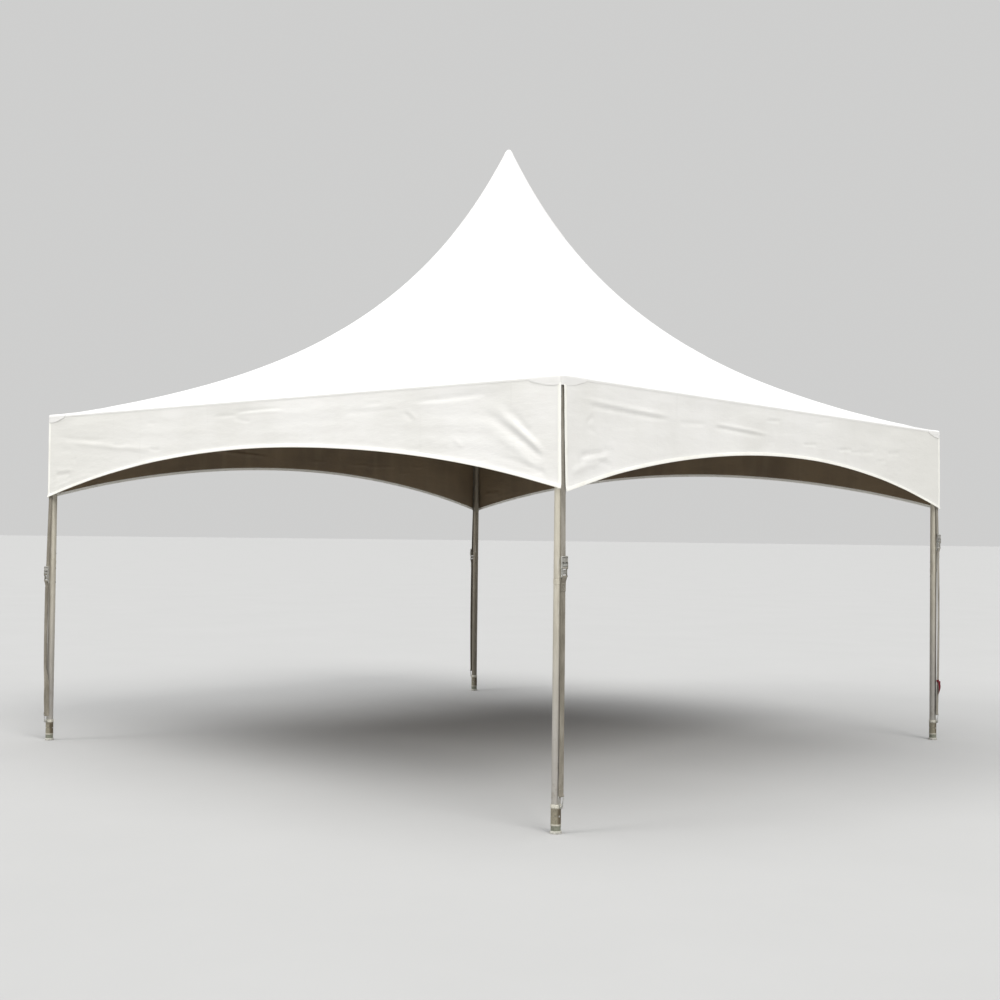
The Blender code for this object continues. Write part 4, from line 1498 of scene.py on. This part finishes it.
for side in SIDES:
    make_beam(side)
print("beams made")

# %% [markdown]
# ## Mast, hub and cap
# The short mast has no leg to the ground. Its hub hangs on four wire ropes that run up to the corners
# and are pulled tight, and a blunt cap on top keeps the mast from chafing the cloth. The hub is an
# eight-sided block with a tab for each rope; the cap is turned to the same curve as the roof over it.

# %% Mast and hub
HUB_LOW, HUB_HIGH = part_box("mast_hub")[0][2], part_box("mast_hub")[1][2]
HUB_MIDDLE = (HUB_LOW + HUB_HIGH) / 2
HUB_R, HUB_RIM_R, HUB_RIM_HIGH = 0.0450, 0.0300, 0.034
HUB_FLAT = HUB_R * math.cos(math.pi / 8)
TAB_R, TAB_THICK = 0.012, 0.008
MAST_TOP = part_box("mast")[1][2]


def make_mast():
    mast = Shape()
    pipe(mast, HUB_HIGH + PIPE_GAP, MAST_TOP)
    mast.piece("mast_tube", "frame_tube", beam_metal, replaces=["mast"], at=Vector((0, 0, HUB_HIGH)))


def make_hub():
    hub = Shape()
    block = arc((0, 0), HUB_R, 22.5, 337.5, 8)
    hub.plate(block, HUB_HIGH - HUB_LOW, Matrix.Translation((0, 0, HUB_LOW)), 0.003)
    bore, low, high = TUBE_R + 0.4 * MM, HUB_HIGH - 0.002, HUB_HIGH + HUB_RIM_HIGH
    rim = [(bore, low), (HUB_RIM_R, low), (HUB_RIM_R, high - 0.002), (HUB_RIM_R - 0.001, high), (bore, high)]
    hub.loft(turned_rows(rim, 56), 0, closed=True)
    hub.turned([(0.020, HUB_LOW - 0.004), (0.022, HUB_LOW - 0.003), (0.022, HUB_LOW + 0.002)], 48)
    hex_bolt(hub, frame_matrix(Vector((0, 0, HUB_LOW - 0.004)), (1, 0, 0), DOWN), 0.019, 0.008, finish=1)
    tab = [(-0.004, -TAB_R), *arc((0.004, 0), TAB_R, -80, 80, 13), (-0.004, TAB_R)]
    for corner in CORNERS.values():
        out = Vector((*corner, 0)).normalized()
        side = Vector((-out.y, out.x, 0))
        spot = out * HUB_FLAT + Vector((0, 0, HUB_MIDDLE)) - side * (TAB_THICK / 2)
        hub.plate(tab, TAB_THICK, frame_matrix(spot, out, side), 0.0010)
    hub.piece("hub_casting", "cast_fitting", cast_metal, zinc, replaces=["mast_hub"],
              at=Vector((0, 0, HUB_MIDDLE)))


def make_cap():
    ring_z = ridge_height(RING_R / HIP)
    under = 3.5 * MM            # the cap stays this far inside the cloth
    profile = [(TUBE_R + 0.0005, MAST_TOP - 0.004), (0.0285, MAST_TOP - 0.003), (0.0290, MAST_TOP + 0.001)]
    profile += [(0.0290, ring_z - 0.020), (RING_R - under, ring_z - 0.006)]
    for share in (0.95, 0.8, 0.6, 0.4, 0.2, 0.05):
        profile.append(((RING_R - under) * share, ring_z + (PEAK_Z - under - ring_z) * (1 - share * share)))
    cap = Shape().turned(profile, 56)
    cap.piece("peak_cap", "cast_fitting", cast_metal, at=Vector((0, 0, ring_z)))


make_mast()
make_hub()
make_cap()
print("mast, hub and cap made")

# %% [markdown]
# ## Wire ropes
# Each rope runs from a tab of the hub up to the lug of a corner, with a shackle and an eye at both ends
# and a turnbuckle near the corner that pulls it tight. The rope is one lobed section that turns as it
# goes, which reads as six strands at a small part of the cost.

# %% Rope, eye and shackle
ROPE_R, ROPE_LAY = 0.0040, 0.058
STRANDS, RINGS_A_LAY = 6, 9


def rope(shape, start, end):
    """Strands laid round each other: a lobed section that turns once in each lay length."""
    length = (end - start).length
    count = int(length / (ROPE_LAY / RINGS_A_LAY))
    turns = np.linspace(0, 2 * math.pi, STRANDS * 4, endpoint=False)
    lobes = ROPE_R * (0.90 + 0.10 * np.cos(STRANDS * turns))
    rings = []
    for i in range(count + 1):
        z = length * i / count
        turned = turns + 2 * math.pi * z / ROPE_LAY
        rings.append(np.stack([lobes * np.cos(turned), lobes * np.sin(turned), np.full(len(turns), z)], 1))
    return shape.loft(rings, 0, frame_matrix(start, (0, 0, 1), end - start))


def eye_end(shape, spot, along, across, size=0.013):
    """The eye of a wire rope: a loop of rope round a thimble, and the ferrule that closes it."""
    middle = spot + along * size
    loop = []
    for a in np.linspace(0.0, 2 * math.pi, 25)[:-1]:
        loop.append(middle - along * (size * math.cos(a)) + across * (size * 0.72 * math.sin(a)))
    bent_bar(shape, loop, 0.0030, 10, closed=True, finish=0)
    thimble = [middle + (point - middle) * 0.74 for point in loop]
    bent_bar(shape, thimble, 0.0016, 8, closed=True, finish=1)
    start = middle + along * (size * 0.95)
    ferrule = [(0.0046, 0), (0.0062, 0.002), (0.0064, 0.006), (0.0064, 0.024)]
    ferrule += [(0.0060, 0.028), (0.0044, 0.031)]
    shape.turned(ferrule, 24, 1, frame_matrix(start, across, along))
    return start + along * 0.029


def shackle(shape, spot, along, across, size=0.020):
    """A bow shackle through a lug: the bow, and the pin that closes it."""
    half = size * 0.55
    left, right = spot - across * half, spot + across * half
    path = [left - along * 0.002, left + along * (size * 0.4)]
    for a in np.linspace(math.pi, 0, 11)[1:-1]:
        path.append(spot + along * (half + size * 0.50 * math.sin(a)) + across * (half * math.cos(a)))
    path += [right + along * (size * 0.4), right - along * 0.002]
    bent_bar(shape, path, 0.0024, 10, finish=1)
    shape.bar(left - across * 0.006, right + across * 0.006, 0.0026, 16, finish=1)
    shape.bar(right + across * 0.003, right + across * 0.0065, 0.0044, 6, finish=1)
    return shape


print("rope fittings ready")

# %% Wire ropes
TURNBUCKLE_BACK = 0.110         # from the ferrule to the middle of the turnbuckle
FRAME_HALF = 0.045              # half length of the turnbuckle's open frame
ROD_R = 3.6 * MM


def turnbuckle(shape, middle, along, up, end):
    """Two side bars between two hexagon ends, a threaded rod from each side, and the rope's ferrule."""
    for share in (-1, 1):
        offset = middle + up * (0.0085 * share)
        shape.bar(offset - along * FRAME_HALF, offset + along * FRAME_HALF, 0.0032, 12, finish=1)
    nut = [(0.0100, -0.006), (0.0118, -0.004), (0.0118, 0.004), (0.0100, 0.006)]
    for place in (-FRAME_HALF, FRAME_HALF):
        shape.turned(nut, 6, 1, frame_matrix(middle + along * place, up, along))
    shape.bar(middle + along * 0.012, end, ROD_R, 16, finish=1)
    shape.bar(middle - along * 0.075, middle - along * 0.012, ROD_R, 16, finish=1)
    ferrule = [(0.0044, 0), (0.0060, 0.002), (0.0060, 0.022), (0.0044, 0.025)]
    shape.turned(ferrule, 24, 1, frame_matrix(middle - along * 0.096, up, along))
    return shape


def make_rope(name, corner):
    out = Vector((*corner, 0)).normalized()
    side = Vector((-out.y, out.x, 0))
    near = out * (HUB_FLAT + 0.009) + Vector((0, 0, HUB_MIDDLE))
    far = out * (HALF * math.sqrt(2) - LUG_REACH + 0.014) + Vector((0, 0, BEAM_Z - LUG_DROP))
    along = (far - near).normalized()
    up = side.cross(along)
    made = Shape()
    shackle(made, near, along, side)
    shackle(made, far, -along, side)
    start = eye_end(made, near + along * 0.015, along, up)
    end = eye_end(made, far - along * 0.015, -along, up)
    middle = end - along * TURNBUCKLE_BACK
    turnbuckle(made, middle, along, up, end)
    rope(made, start - along * 0.004, middle - along * 0.080)
    made.piece(f"wire_rope_{name}", "wire_rope", wire_metal, zinc, replaces=[f"cable_{name}"])
    return (middle - start).length


rope_lengths = [make_rope(name, corner) for name, corner in CORNERS.items()]
print("wire ropes of", round(rope_lengths[0], 2), "m, ferrule to turnbuckle")

# %% [markdown]
# ## Straps
# A strap runs down the outer side of each leg and pulls the cloth tight. The upper length is sewn to the
# corner of the roof and winds onto the spool of a ratchet; the lower one is looped round the ratchet's
# anchor bolt and, at the foot, through a three-sided ring that hangs on the pin. Webbing bends easily
# one way only, so it is made as a flat section with soft edges that is carried along a line. The section
# is a little cupped, as webbing under tension is.

# %% Webbing
BUCKLE_AT = {"front_right": 1.340, "back_right": 1.480, "back_left": 1.300, "front_left": 1.180}
BUCKLE_HALF = 0.055
UPPER_FINISH = {"front_right": pale_webbing, "back_right": pale_webbing}
LOWER_FINISH = {"back_right": pale_webbing}
BAND_THICK, BAND_CUP = 2.2 * MM, 0.3 * MM
# Across the band: the share of its width and of its thickness, for the upper half and then the lower.
BAND_SECTION = [(-0.5, 0), (-0.485, 0.36), (-0.45, 0.5), (-0.15, 0.5), (0.15, 0.5), (0.45, 0.5)]
BAND_SECTION += [(0.485, 0.36)]
BAND_SECTION += [(-share, -high) for share, high in BAND_SECTION]


def webbing(shape, line, across, width=STRAP_WIDE, twist=None, finish=0):
    """A band along a line; across is the direction of its width and twist turns it, in radians."""
    rings = []
    for i, spot in enumerate(line):
        ahead = (line[min(i + 1, len(line) - 1)] - line[max(i - 1, 0)]).normalized()
        side = (across - ahead * ahead.dot(across)).normalized()
        if twist is not None:
            side = Matrix.Rotation(float(twist[i]), 3, ahead) @ side
        up = side.cross(ahead)
        ring = []
        for share, high in BAND_SECTION:
            lift = BAND_THICK * high - BAND_CUP * (1 - 4 * share * share)
            ring.append(spot + side * (width * share) + up * lift)
        rings.append(ring)
    return shape.loft(rings, finish)


def strap_axes(name):
    """The foot point of the leg, the way out to the strap and the way across it."""
    out = Vector((*STRAP_SIDES[name], 0))
    return leg_point(CORNERS[name]), out, Vector((-out.y, out.x, 0))


def strap_line(name, pairs):
    """World points from (distance from the leg axis, height) pairs in the plane of the strap."""
    base, out, _ = strap_axes(name)
    return [base + out * reach + Vector((0, 0, z)) for reach, z in pairs]


def eased(first, last, count):
    """Steps between two (distance, height) pairs; the distance eases in and out."""
    shares = np.linspace(0, 1, count)
    reaches = first[0] + (last[0] - first[0]) * smooth(0, 1, shares)
    heights = first[1] + (last[1] - first[1]) * shares
    return list(zip(reaches, heights))


def sewn_box(shape, name, low, high, beyond):
    """The stitched box with a cross that holds a folded webbing end."""
    base, out, across = strap_axes(name)
    half = STRAP_WIDE / 2 - 0.005
    box = [(-half, low), (half, low), (half, high), (-half, high), (-half, low), (half, high)]
    for path in (box, [(half, low), (-half, high)]):
        for (a, z_a), (b, z_b) in zip(path, path[1:]):
            line = []
            for share in np.linspace(0, 1, 12):
                z = z_a + (z_b - z_a) * share
                reach = out * (strap_offset(name, z) + beyond)
                line.append(base + reach + across * (a + (b - a) * share) + Vector((0, 0, z)))
            sew(shape, line, np.tile(np.array(out), (len(line), 1)), 2)
    return shape


def buckle_face(name):
    """Distance from the leg axis to the inner face of the ratchet."""
    middle = BUCKLE_AT[name]
    levels = (middle - BUCKLE_HALF, middle, middle + BUCKLE_HALF)
    return max(strap_offset(name, z) for z in levels) + STRAP_THICK / 2 + 0.0003


print("webbing helpers ready")

# %% [markdown]
# ## The run of a strap
# A strap is drawn as a line in its own plane: pairs of distance from the leg's axis and height. The
# upper length ends in a spiral on the spool, and the lower one starts and ends in a sewn eye. Depths
# are counted from the inner face of the ratchet; shares are of its half length, up from its middle.

# %% Strap lines
SPOOL_DEPTH, SPOOL_SHARE, SPOOL_FULL = 0.0060, -0.10, 0.0055
ANCHOR_DEPTH, ANCHOR_SHARE, ANCHOR_EYE = 0.0050, -0.88, 0.0038
RING_TOP = PIN_Z + 0.052        # the middle of the ring's upper bar
RING_EYE, RING_BAR_R = 3.5 * MM, 2.1 * MM
RING_REACH = 0.0322             # the ring hangs at this distance from the leg's axis
SPOOL_TURNS, SPOOL_WOUND = 1.2, 2.9 * MM
FOLDED = 2.6 * MM               # a folded end lies this far beside the strap


def upper_strap(name):
    """Down from the roof, in behind the handle, and a little over one turn round the spool."""
    face, middle = buckle_face(name), BUCKLE_AT[name]
    spool_z = middle + SPOOL_SHARE * BUCKLE_HALF
    entry = middle + BUCKLE_HALF + 0.030
    pairs = [(strap_offset(name, z), z) for z in np.linspace(EAVE_Z - 0.006, entry, 90)]
    pairs += eased(pairs[-1], (face + SPOOL_DEPTH - SPOOL_FULL, spool_z + 0.006), 16)[1:]
    for share in np.linspace(0, 1, 40):
        turn = math.pi * (1 + 2 * SPOOL_TURNS * share)
        r = SPOOL_FULL - SPOOL_WOUND * share
        pairs.append((face + SPOOL_DEPTH + r * math.cos(turn), spool_z + r * math.sin(turn)))
    return strap_line(name, pairs)


def lower_strap(name):
    """From its sewn end, round the anchor bolt, down to the foot, round the ring and back up."""
    face, middle = buckle_face(name), BUCKLE_AT[name]
    anchor_z = middle + ANCHOR_SHARE * BUCKLE_HALF
    free_end = anchor_z - 0.075
    low = anchor_z - 0.034
    outer = face + ANCHOR_DEPTH + ANCHOR_EYE
    inner = face + ANCHOR_DEPTH - ANCHOR_EYE
    pairs = [(strap_offset(name, z) + FOLDED, z) for z in np.linspace(free_end, low, 12)]
    pairs += eased(pairs[-1], (outer, anchor_z), 10)[1:]
    for turn in np.linspace(0, math.pi, 13)[1:-1]:
        reach = face + ANCHOR_DEPTH + ANCHOR_EYE * math.cos(turn)
        pairs.append((reach, anchor_z + ANCHOR_EYE * math.sin(turn)))
    pairs += eased((inner, anchor_z), (strap_offset(name, low), low), 10)
    pairs += [(strap_offset(name, z), z) for z in np.linspace(low, RING_TOP + 0.012, 90)[1:]]
    ring = strap_offset(name, RING_TOP)
    pairs += eased(pairs[-1], (ring + RING_EYE, RING_TOP), 6)[1:]
    for turn in np.linspace(0, -math.pi, 11)[1:-1]:
        pairs.append((ring + RING_EYE * math.cos(turn), RING_TOP + RING_EYE * math.sin(turn)))
    back, end = RING_TOP + 0.020, RING_TOP + 0.090
    pairs += eased((ring - RING_EYE, RING_TOP), (strap_offset(name, back) - FOLDED, back), 8)
    pairs += [(strap_offset(name, z) - FOLDED, z) for z in np.linspace(back, end, 12)[1:]]
    return strap_line(name, pairs)


def pin_ring(shape, name, finish):
    """A three-sided ring of bent bar: its narrow end hangs under the pin, the wide one holds the loop."""
    base, out, across = strap_axes(name)
    wide, bend = STRAP_WIDE / 2 + 0.0035, 0.005
    narrow = PIN_R + RING_BAR_R + 0.0003
    top = RING_TOP - PIN_Z - bend
    flat = arc((0, 0), narrow, 200, 340, 13)
    flat += arc((wide - bend, top), bend, 0, 90, 6)
    flat += arc((bend - wide, top), bend, 90, 180, 6)
    path = [base + out * RING_REACH + across * a + Vector((0, 0, PIN_Z + z)) for a, z in flat]
    return bent_bar(shape, path, RING_BAR_R, 12, closed=True, finish=finish)


print("an upper strap has", len(upper_strap("front_right")), "points")

# %% Straps
def sway(line, size, speed, start, fades):
    """A slow twist along a line, which fades in and out between the four places given."""
    place = np.linspace(0, 1, len(line))
    share = smooth(fades[0], fades[1], place) * smooth(fades[3], fades[2], place)
    return size * np.sin(place * speed + start) * share


def make_strap(number, name):
    made = Shape()
    across = strap_axes(name)[2]
    wander = 1.3 * number
    line = upper_strap(name)
    webbing(made, line, across, twist=sway(line, 0.02, 9, wander, (0.1, 0.3, 0.5, 0.6)))
    line = lower_strap(name)
    webbing(made, line, across, twist=sway(line, 0.03, 8, wander, (0.35, 0.45, 0.7, 0.8)), finish=1)
    anchor_z = BUCKLE_AT[name] + ANCHOR_SHARE * BUCKLE_HALF
    sewn_box(made, name, anchor_z - 0.070, anchor_z - 0.036, FOLDED + BAND_THICK / 2)
    sewn_box(made, name, RING_TOP + 0.034, RING_TOP + 0.080, BAND_THICK / 2)
    pin_ring(made, name, 3)
    made.piece(f"webbing_{name}", "webbing", UPPER_FINISH.get(name, grey_webbing),
               LOWER_FINISH.get(name, grey_webbing), sewing_thread, zinc, replaces=[f"strap_{name}"])


for number, name in enumerate(CORNERS):
    make_strap(number, name)
print("straps made")

# %% [markdown]
# ## Ratchets
# The frame of a ratchet is two side plates held apart by a floor plate and an anchor bolt. The spool
# turns in them between two toothed wheels, and the folded handle swings on the spool's axle outside the
# wheels. A spring pushes a sliding pawl plate into the teeth. All of it is plates and bars in a place of
# its own, where X is the depth out from the leg, Y runs up the strap and Z across it.

# %% Ratchet parts
def side_plate(shape, place, outline, at, thick, finish=0):
    """A plate that stands square to the strap's width; the outline is (depth, height) pairs."""
    return shape.plate(outline, thick, place @ Matrix.Translation((0, 0, at - thick / 2)), 0.0004, finish)


def toothed_wheel(radius, root, teeth):
    points = []
    step = 2 * math.pi / teeth
    for tooth in range(teeth):
        for share, r in ((0.0, root), (0.35, root + 0.0004), (0.72, radius), (0.90, radius), (0.96, root)):
            turn = (tooth + share) * step
            points.append((r * math.cos(turn), r * math.sin(turn)))
    return points


def strip(low, high, near, far):
    """A rectangle of a cross plate: its heights, and its depths."""
    return [(near, low), (far, low), (far, high), (near, high)]


SPOOL_Y, ANCHOR_Y, GRIP_Y = SPOOL_SHARE * BUCKLE_HALF, ANCHOR_SHARE * BUCKLE_HALF, 0.90 * BUCKLE_HALF
GRIP_DEPTH = 0.0055
CHEEK_AT, HANDLE_AT, WHEEL_AT = 0.0202, 0.0234, 0.0219
WHEEL_THICK = 1.4 * MM
CHEEK = [
    (0.0004, -BUCKLE_HALF), (0.0070, -BUCKLE_HALF), (0.0092, 0.003 - BUCKLE_HALF),
    (0.0094, ANCHOR_Y + 0.009), (0.0082, -0.024), (0.0092, -0.016), (0.0108, -0.008),
    (0.0108, 0.006), (0.0086, 0.020), (0.0064, 0.034), (0.0050, 0.0396), (0.0004, 0.0396),
]
HANDLE_ARM = [
    *arc((SPOOL_DEPTH, SPOOL_Y), 0.0062, 150, 360, 15),
    (0.0116, 0.012), (0.0100, 0.030), (0.0100, GRIP_Y),
    *arc((GRIP_DEPTH, GRIP_Y), 0.0044, 0, 180, 9),
    (0.0012, 0.034), (0.0024, 0.012),
]
FLOOR_PLATE = strip(-0.72 * BUCKLE_HALF, -0.28 * BUCKLE_HALF, 0.0002, 0.0014)
HANDLE_COVER = strip(0.42 * BUCKLE_HALF, 0.80 * BUCKLE_HALF, 0.0086, 0.0098)
PAWL = [(0.0082, 0.003), (0.0096, 0.001), (0.0096, 0.016), (0.0082, 0.016)]
print("ratchet parts drawn:", len(CHEEK), "points a cheek,", len(HANDLE_ARM), "a handle arm")

# %% Ratchets
RIBS, RIB_PITCH_GRIP = 9, 5.0 * MM
COIL_TURNS, COIL_STEPS = 8, 10


def spring_coil(spot):
    """The points of the pawl's spring, a helix that runs up the strap."""
    coil = []
    for i in range(COIL_TURNS * COIL_STEPS + 1):
        turn = 2 * math.pi * i / COIL_STEPS
        high = 0.0165 + 0.0065 * i / (COIL_TURNS * COIL_STEPS)
        coil.append(spot(0.0089 + 0.0015 * math.cos(turn), high, 0.0015 * math.sin(turn)))
    return coil


def grip_profile():
    """The ribbed grip between the two arms of the handle."""
    grip = []
    for rib in range(RIBS):
        z = -0.0228 + RIB_PITCH_GRIP * rib
        grip += [(0.0040, z), (0.0045, z + 0.0006), (0.0045, z + 0.0034), (0.0040, z + 0.0040)]
    return grip


def make_buckle(name):
    base, out, across = strap_axes(name)
    origin = base + out * buckle_face(name) + Vector((0, 0, BUCKLE_AT[name]))
    place = frame_matrix(origin, out, -across)
    made = Shape()

    def spot(depth, high, aside):
        return place @ Vector((depth, high, aside))

    def cross_bar(depth, high, start, end, radius, sides):
        made.bar(spot(depth, high, start), spot(depth, high, end), radius, sides, finish=1)

    for sign in (-1, 1):
        side_plate(made, place, CHEEK, CHEEK_AT * sign, 1.5 * MM)
        side_plate(made, place, HANDLE_ARM, HANDLE_AT * sign, 1.2 * MM)
        axle = Matrix.Translation((SPOOL_DEPTH, SPOOL_Y, WHEEL_AT * sign - WHEEL_THICK / 2))
        made.plate(toothed_wheel(0.0072, 0.0058, 11), WHEEL_THICK, place @ axle, 0.0002, 1)
        cross_bar(SPOOL_DEPTH, SPOOL_Y, 0.0238 * sign, 0.0248 * sign, 0.0042, 24)
    side_plate(made, place, FLOOR_PLATE, 0, 0.0394)
    side_plate(made, place, HANDLE_COVER, 0, 0.0458)
    side_plate(made, place, PAWL, 0, 0.0454, 1)
    cross_bar(SPOOL_DEPTH, SPOOL_Y, -0.0192, 0.0192, 0.0024, 20)
    cross_bar(ANCHOR_DEPTH, ANCHOR_Y, -0.0216, 0.0216, 0.0027, 24)
    for sign in (-1, 1):
        head = frame_matrix(spot(ANCHOR_DEPTH, ANCHOR_Y, 0.0210 * sign), out, across * -sign)
        hex_bolt(made, head, 0.0070, 0.0022, finish=1)
    made.turned(grip_profile(), 32, 0, place @ Matrix.Translation((GRIP_DEPTH, GRIP_Y, 0)))
    bent_bar(made, spring_coil(spot), 0.3 * MM, 6, finish=1)
    made.piece(f"ratchet_{name}", "buckle_metal", cast_metal, zinc, replaces=[f"buckle_{name}"])


for name in CORNERS:
    make_buckle(name)
print("ratchets made")

# %% [markdown]
# ## Loose ends
# Two straps carry a loose end that the wind has moved: a dark one that hangs from the front left
# ratchet and swings away from the leg near the ground, and a short red ribbon tied round the strap of
# the back right leg. Both are webbing on a line with a slow swing in it.

# %% Loose ends
TAIL_TOP, TAIL_LONG = 1.085, 0.91
RIBBON_Z, RIBBON_WIDE, RIBBON_ASIDE = 0.440, 0.018, -0.006
# Across the ribbon's loop round the strap: out from the webbing, and up.
LOOP_SECTION = ((0, -0.008), (0.0012, -0.0085), (0.0016, 0), (0.0012, 0.0085), (0, 0.008))
RIBBON_ENDS = ((0.098, 0.03), (0.080, -0.08))   # length, and how much each one leans aside


def make_dark_tail():
    name = "front_left"
    base, out, across = strap_axes(name)
    made = Shape()
    line, twist = [], []
    for share in np.linspace(0, 1, 90):
        z = TAIL_TOP - TAIL_LONG * share
        away = smooth(0.62, 0.80, share)
        reach = strap_offset(name, z) + 4.4 * MM + 5 * MM * away + 2.0 * MM * math.sin(share * 17) * away
        aside = 0.030 * away + 0.004 * math.sin(share * 12) * away
        line.append(base + out * reach + across * aside + Vector((0, 0, z)))
        twist.append(-0.75 * away + 0.10 * math.sin(share * 14) * away)
    webbing(made, line, across, width=0.034, twist=twist)
    made.piece("loose_end_front_left", "webbing", grey_webbing)


def make_red_ribbon():
    name = "back_right"
    base, out, across = strap_axes(name)
    made = Shape()
    middle = base + out * strap_offset(name, RIBBON_Z) + Vector((0, 0, RIBBON_Z))
    half, deep = STRAP_WIDE / 2 + 0.0022, 0.0036
    rings = []
    for a in np.linspace(0, 2 * math.pi, 41)[:-1]:
        point = across * (half * math.cos(a)) + out * (deep * math.sin(a))
        away = point.normalized()
        rings.append([middle + point + away * thick + Vector((0, 0, high)) for thick, high in LOOP_SECTION])
    made.loft(rings, closed=True)
    knot = frame_matrix(middle + out * 0.0062 + across * RIBBON_ASIDE, (0, 0, 1), out)
    made.turned(bulge(0.0085, 0, 0.0045, np.linspace(-85, 85, 13)), 24, 0, knot)
    for number, (reach, lean) in enumerate(RIBBON_ENDS):
        line, twist = [], []
        for share in np.linspace(0, 1, 40):
            swing = 0.006 * math.sin(share * 2.6) + 0.003 * math.sin(share * 5 + number * 2)
            aside = across * (RIBBON_ASIDE + lean * reach * share)
            line.append(middle + out * (0.0088 + 0.0035 * number + swing) + aside + DOWN * (reach * share))
            twist.append(0.5 * math.sin(share * 4 + number))
        webbing(made, line, across, width=RIBBON_WIDE, twist=twist)
    made.piece("red_ribbon", "webbing", red_webbing)


make_dark_tail()
make_red_ribbon()
print("loose ends made")

# %% [markdown]
# ## Floor
# A pale floor and a plain grey surround let the white cloth stand out. The floor is one round face, so
# wide that its rim is the horizon. It is stage and not part of the tent.

# %% Floor
FLOOR_REACH, FLOOR_SIDES = 300.0, 96


def make_floor():
    finish = Finish("pale_floor", roughness=0.9)
    spot = finish.here()
    grain = finish.noise(spot, 0.8, 4.0, 0.6)
    finish.set(base_color=finish.blend(grain, (0.43, 0.43, 0.425), (0.46, 0.46, 0.455)))
    mesh = bpy.data.meshes.new("floor")
    turns = [2 * math.pi * i / FLOOR_SIDES for i in range(FLOOR_SIDES)]
    rim = [(FLOOR_REACH * math.cos(turn), FLOOR_REACH * math.sin(turn), 0) for turn in turns]
    mesh.from_pydata(rim, [], [list(range(FLOOR_SIDES))])
    mesh.materials.append(finish.material)
    floor = bpy.data.objects.new("floor", mesh)
    bpy.context.scene.collection.objects.link(floor)
    return floor


make_floor()
print("floor laid")

# %% [markdown]
# ## Light
# The light is a studio's version of a bright overcast day: one very wide soft light overhead, a tighter
# one from the front left that draws the creases, a stronger one from the right, and an even fill. All
# three are far away, so the light falls evenly. Pure white has to stay white, so the view transform is
# plain. What the camera sees and what lights the tent are two backgrounds, so that a grey surround
# doesn't dim the fill.

# %% Lights
SUN_WHITE, SUN_WARM = (1.0, 1.0, 1.0), (1.0, 0.99, 0.97)


def far_light(name, comes_from, spread, strength, colour):
    """A distant light; the spread is how wide a patch of the sky it fills, in degrees."""
    light = bpy.data.lights.new(name, "SUN")
    light.angle = math.radians(spread)
    light.energy = strength
    light.color = colour
    lamp = bpy.data.objects.new(name, light)
    lamp.location = Vector(comes_from) * 10
    lamp.rotation_euler = Vector(comes_from).to_track_quat("Z", "Y").to_euler()
    bpy.context.scene.collection.objects.link(lamp)
    return lamp


far_light("overhead", (0.05, -0.20, 1.0), 80, 2.45, SUN_WHITE)
far_light("front_left", (-0.45, -0.90, 0.62), 22, 1.04, SUN_WARM)
far_light("right", (0.78, -0.28, 0.74), 30, 1.80, SUN_WARM)
print("three far lights set")

# %% Surround
world = bpy.data.worlds.new("surround")
world.use_nodes = True
bpy.context.scene.world = world
tree = world.node_tree
seen, lighting = tree.nodes["Background"], tree.nodes.new("ShaderNodeBackground")
seen.inputs["Color"].default_value = (0.62, 0.62, 0.615, 1)
seen.inputs["Strength"].default_value = 1.0
lighting.inputs["Color"].default_value = (0.95, 0.97, 1.0, 1)
lighting.inputs["Strength"].default_value = 0.30
path = tree.nodes.new("ShaderNodeLightPath")
mix = tree.nodes.new("ShaderNodeMixShader")
tree.links.new(path.outputs["Is Camera Ray"], mix.inputs["Fac"])
tree.links.new(lighting.outputs[0], mix.inputs[1])
tree.links.new(seen.outputs[0], mix.inputs[2])
tree.links.new(mix.outputs[0], tree.nodes["World Output"].inputs["Surface"])
bpy.context.scene.view_settings.view_transform = "Standard"
print("surround set")
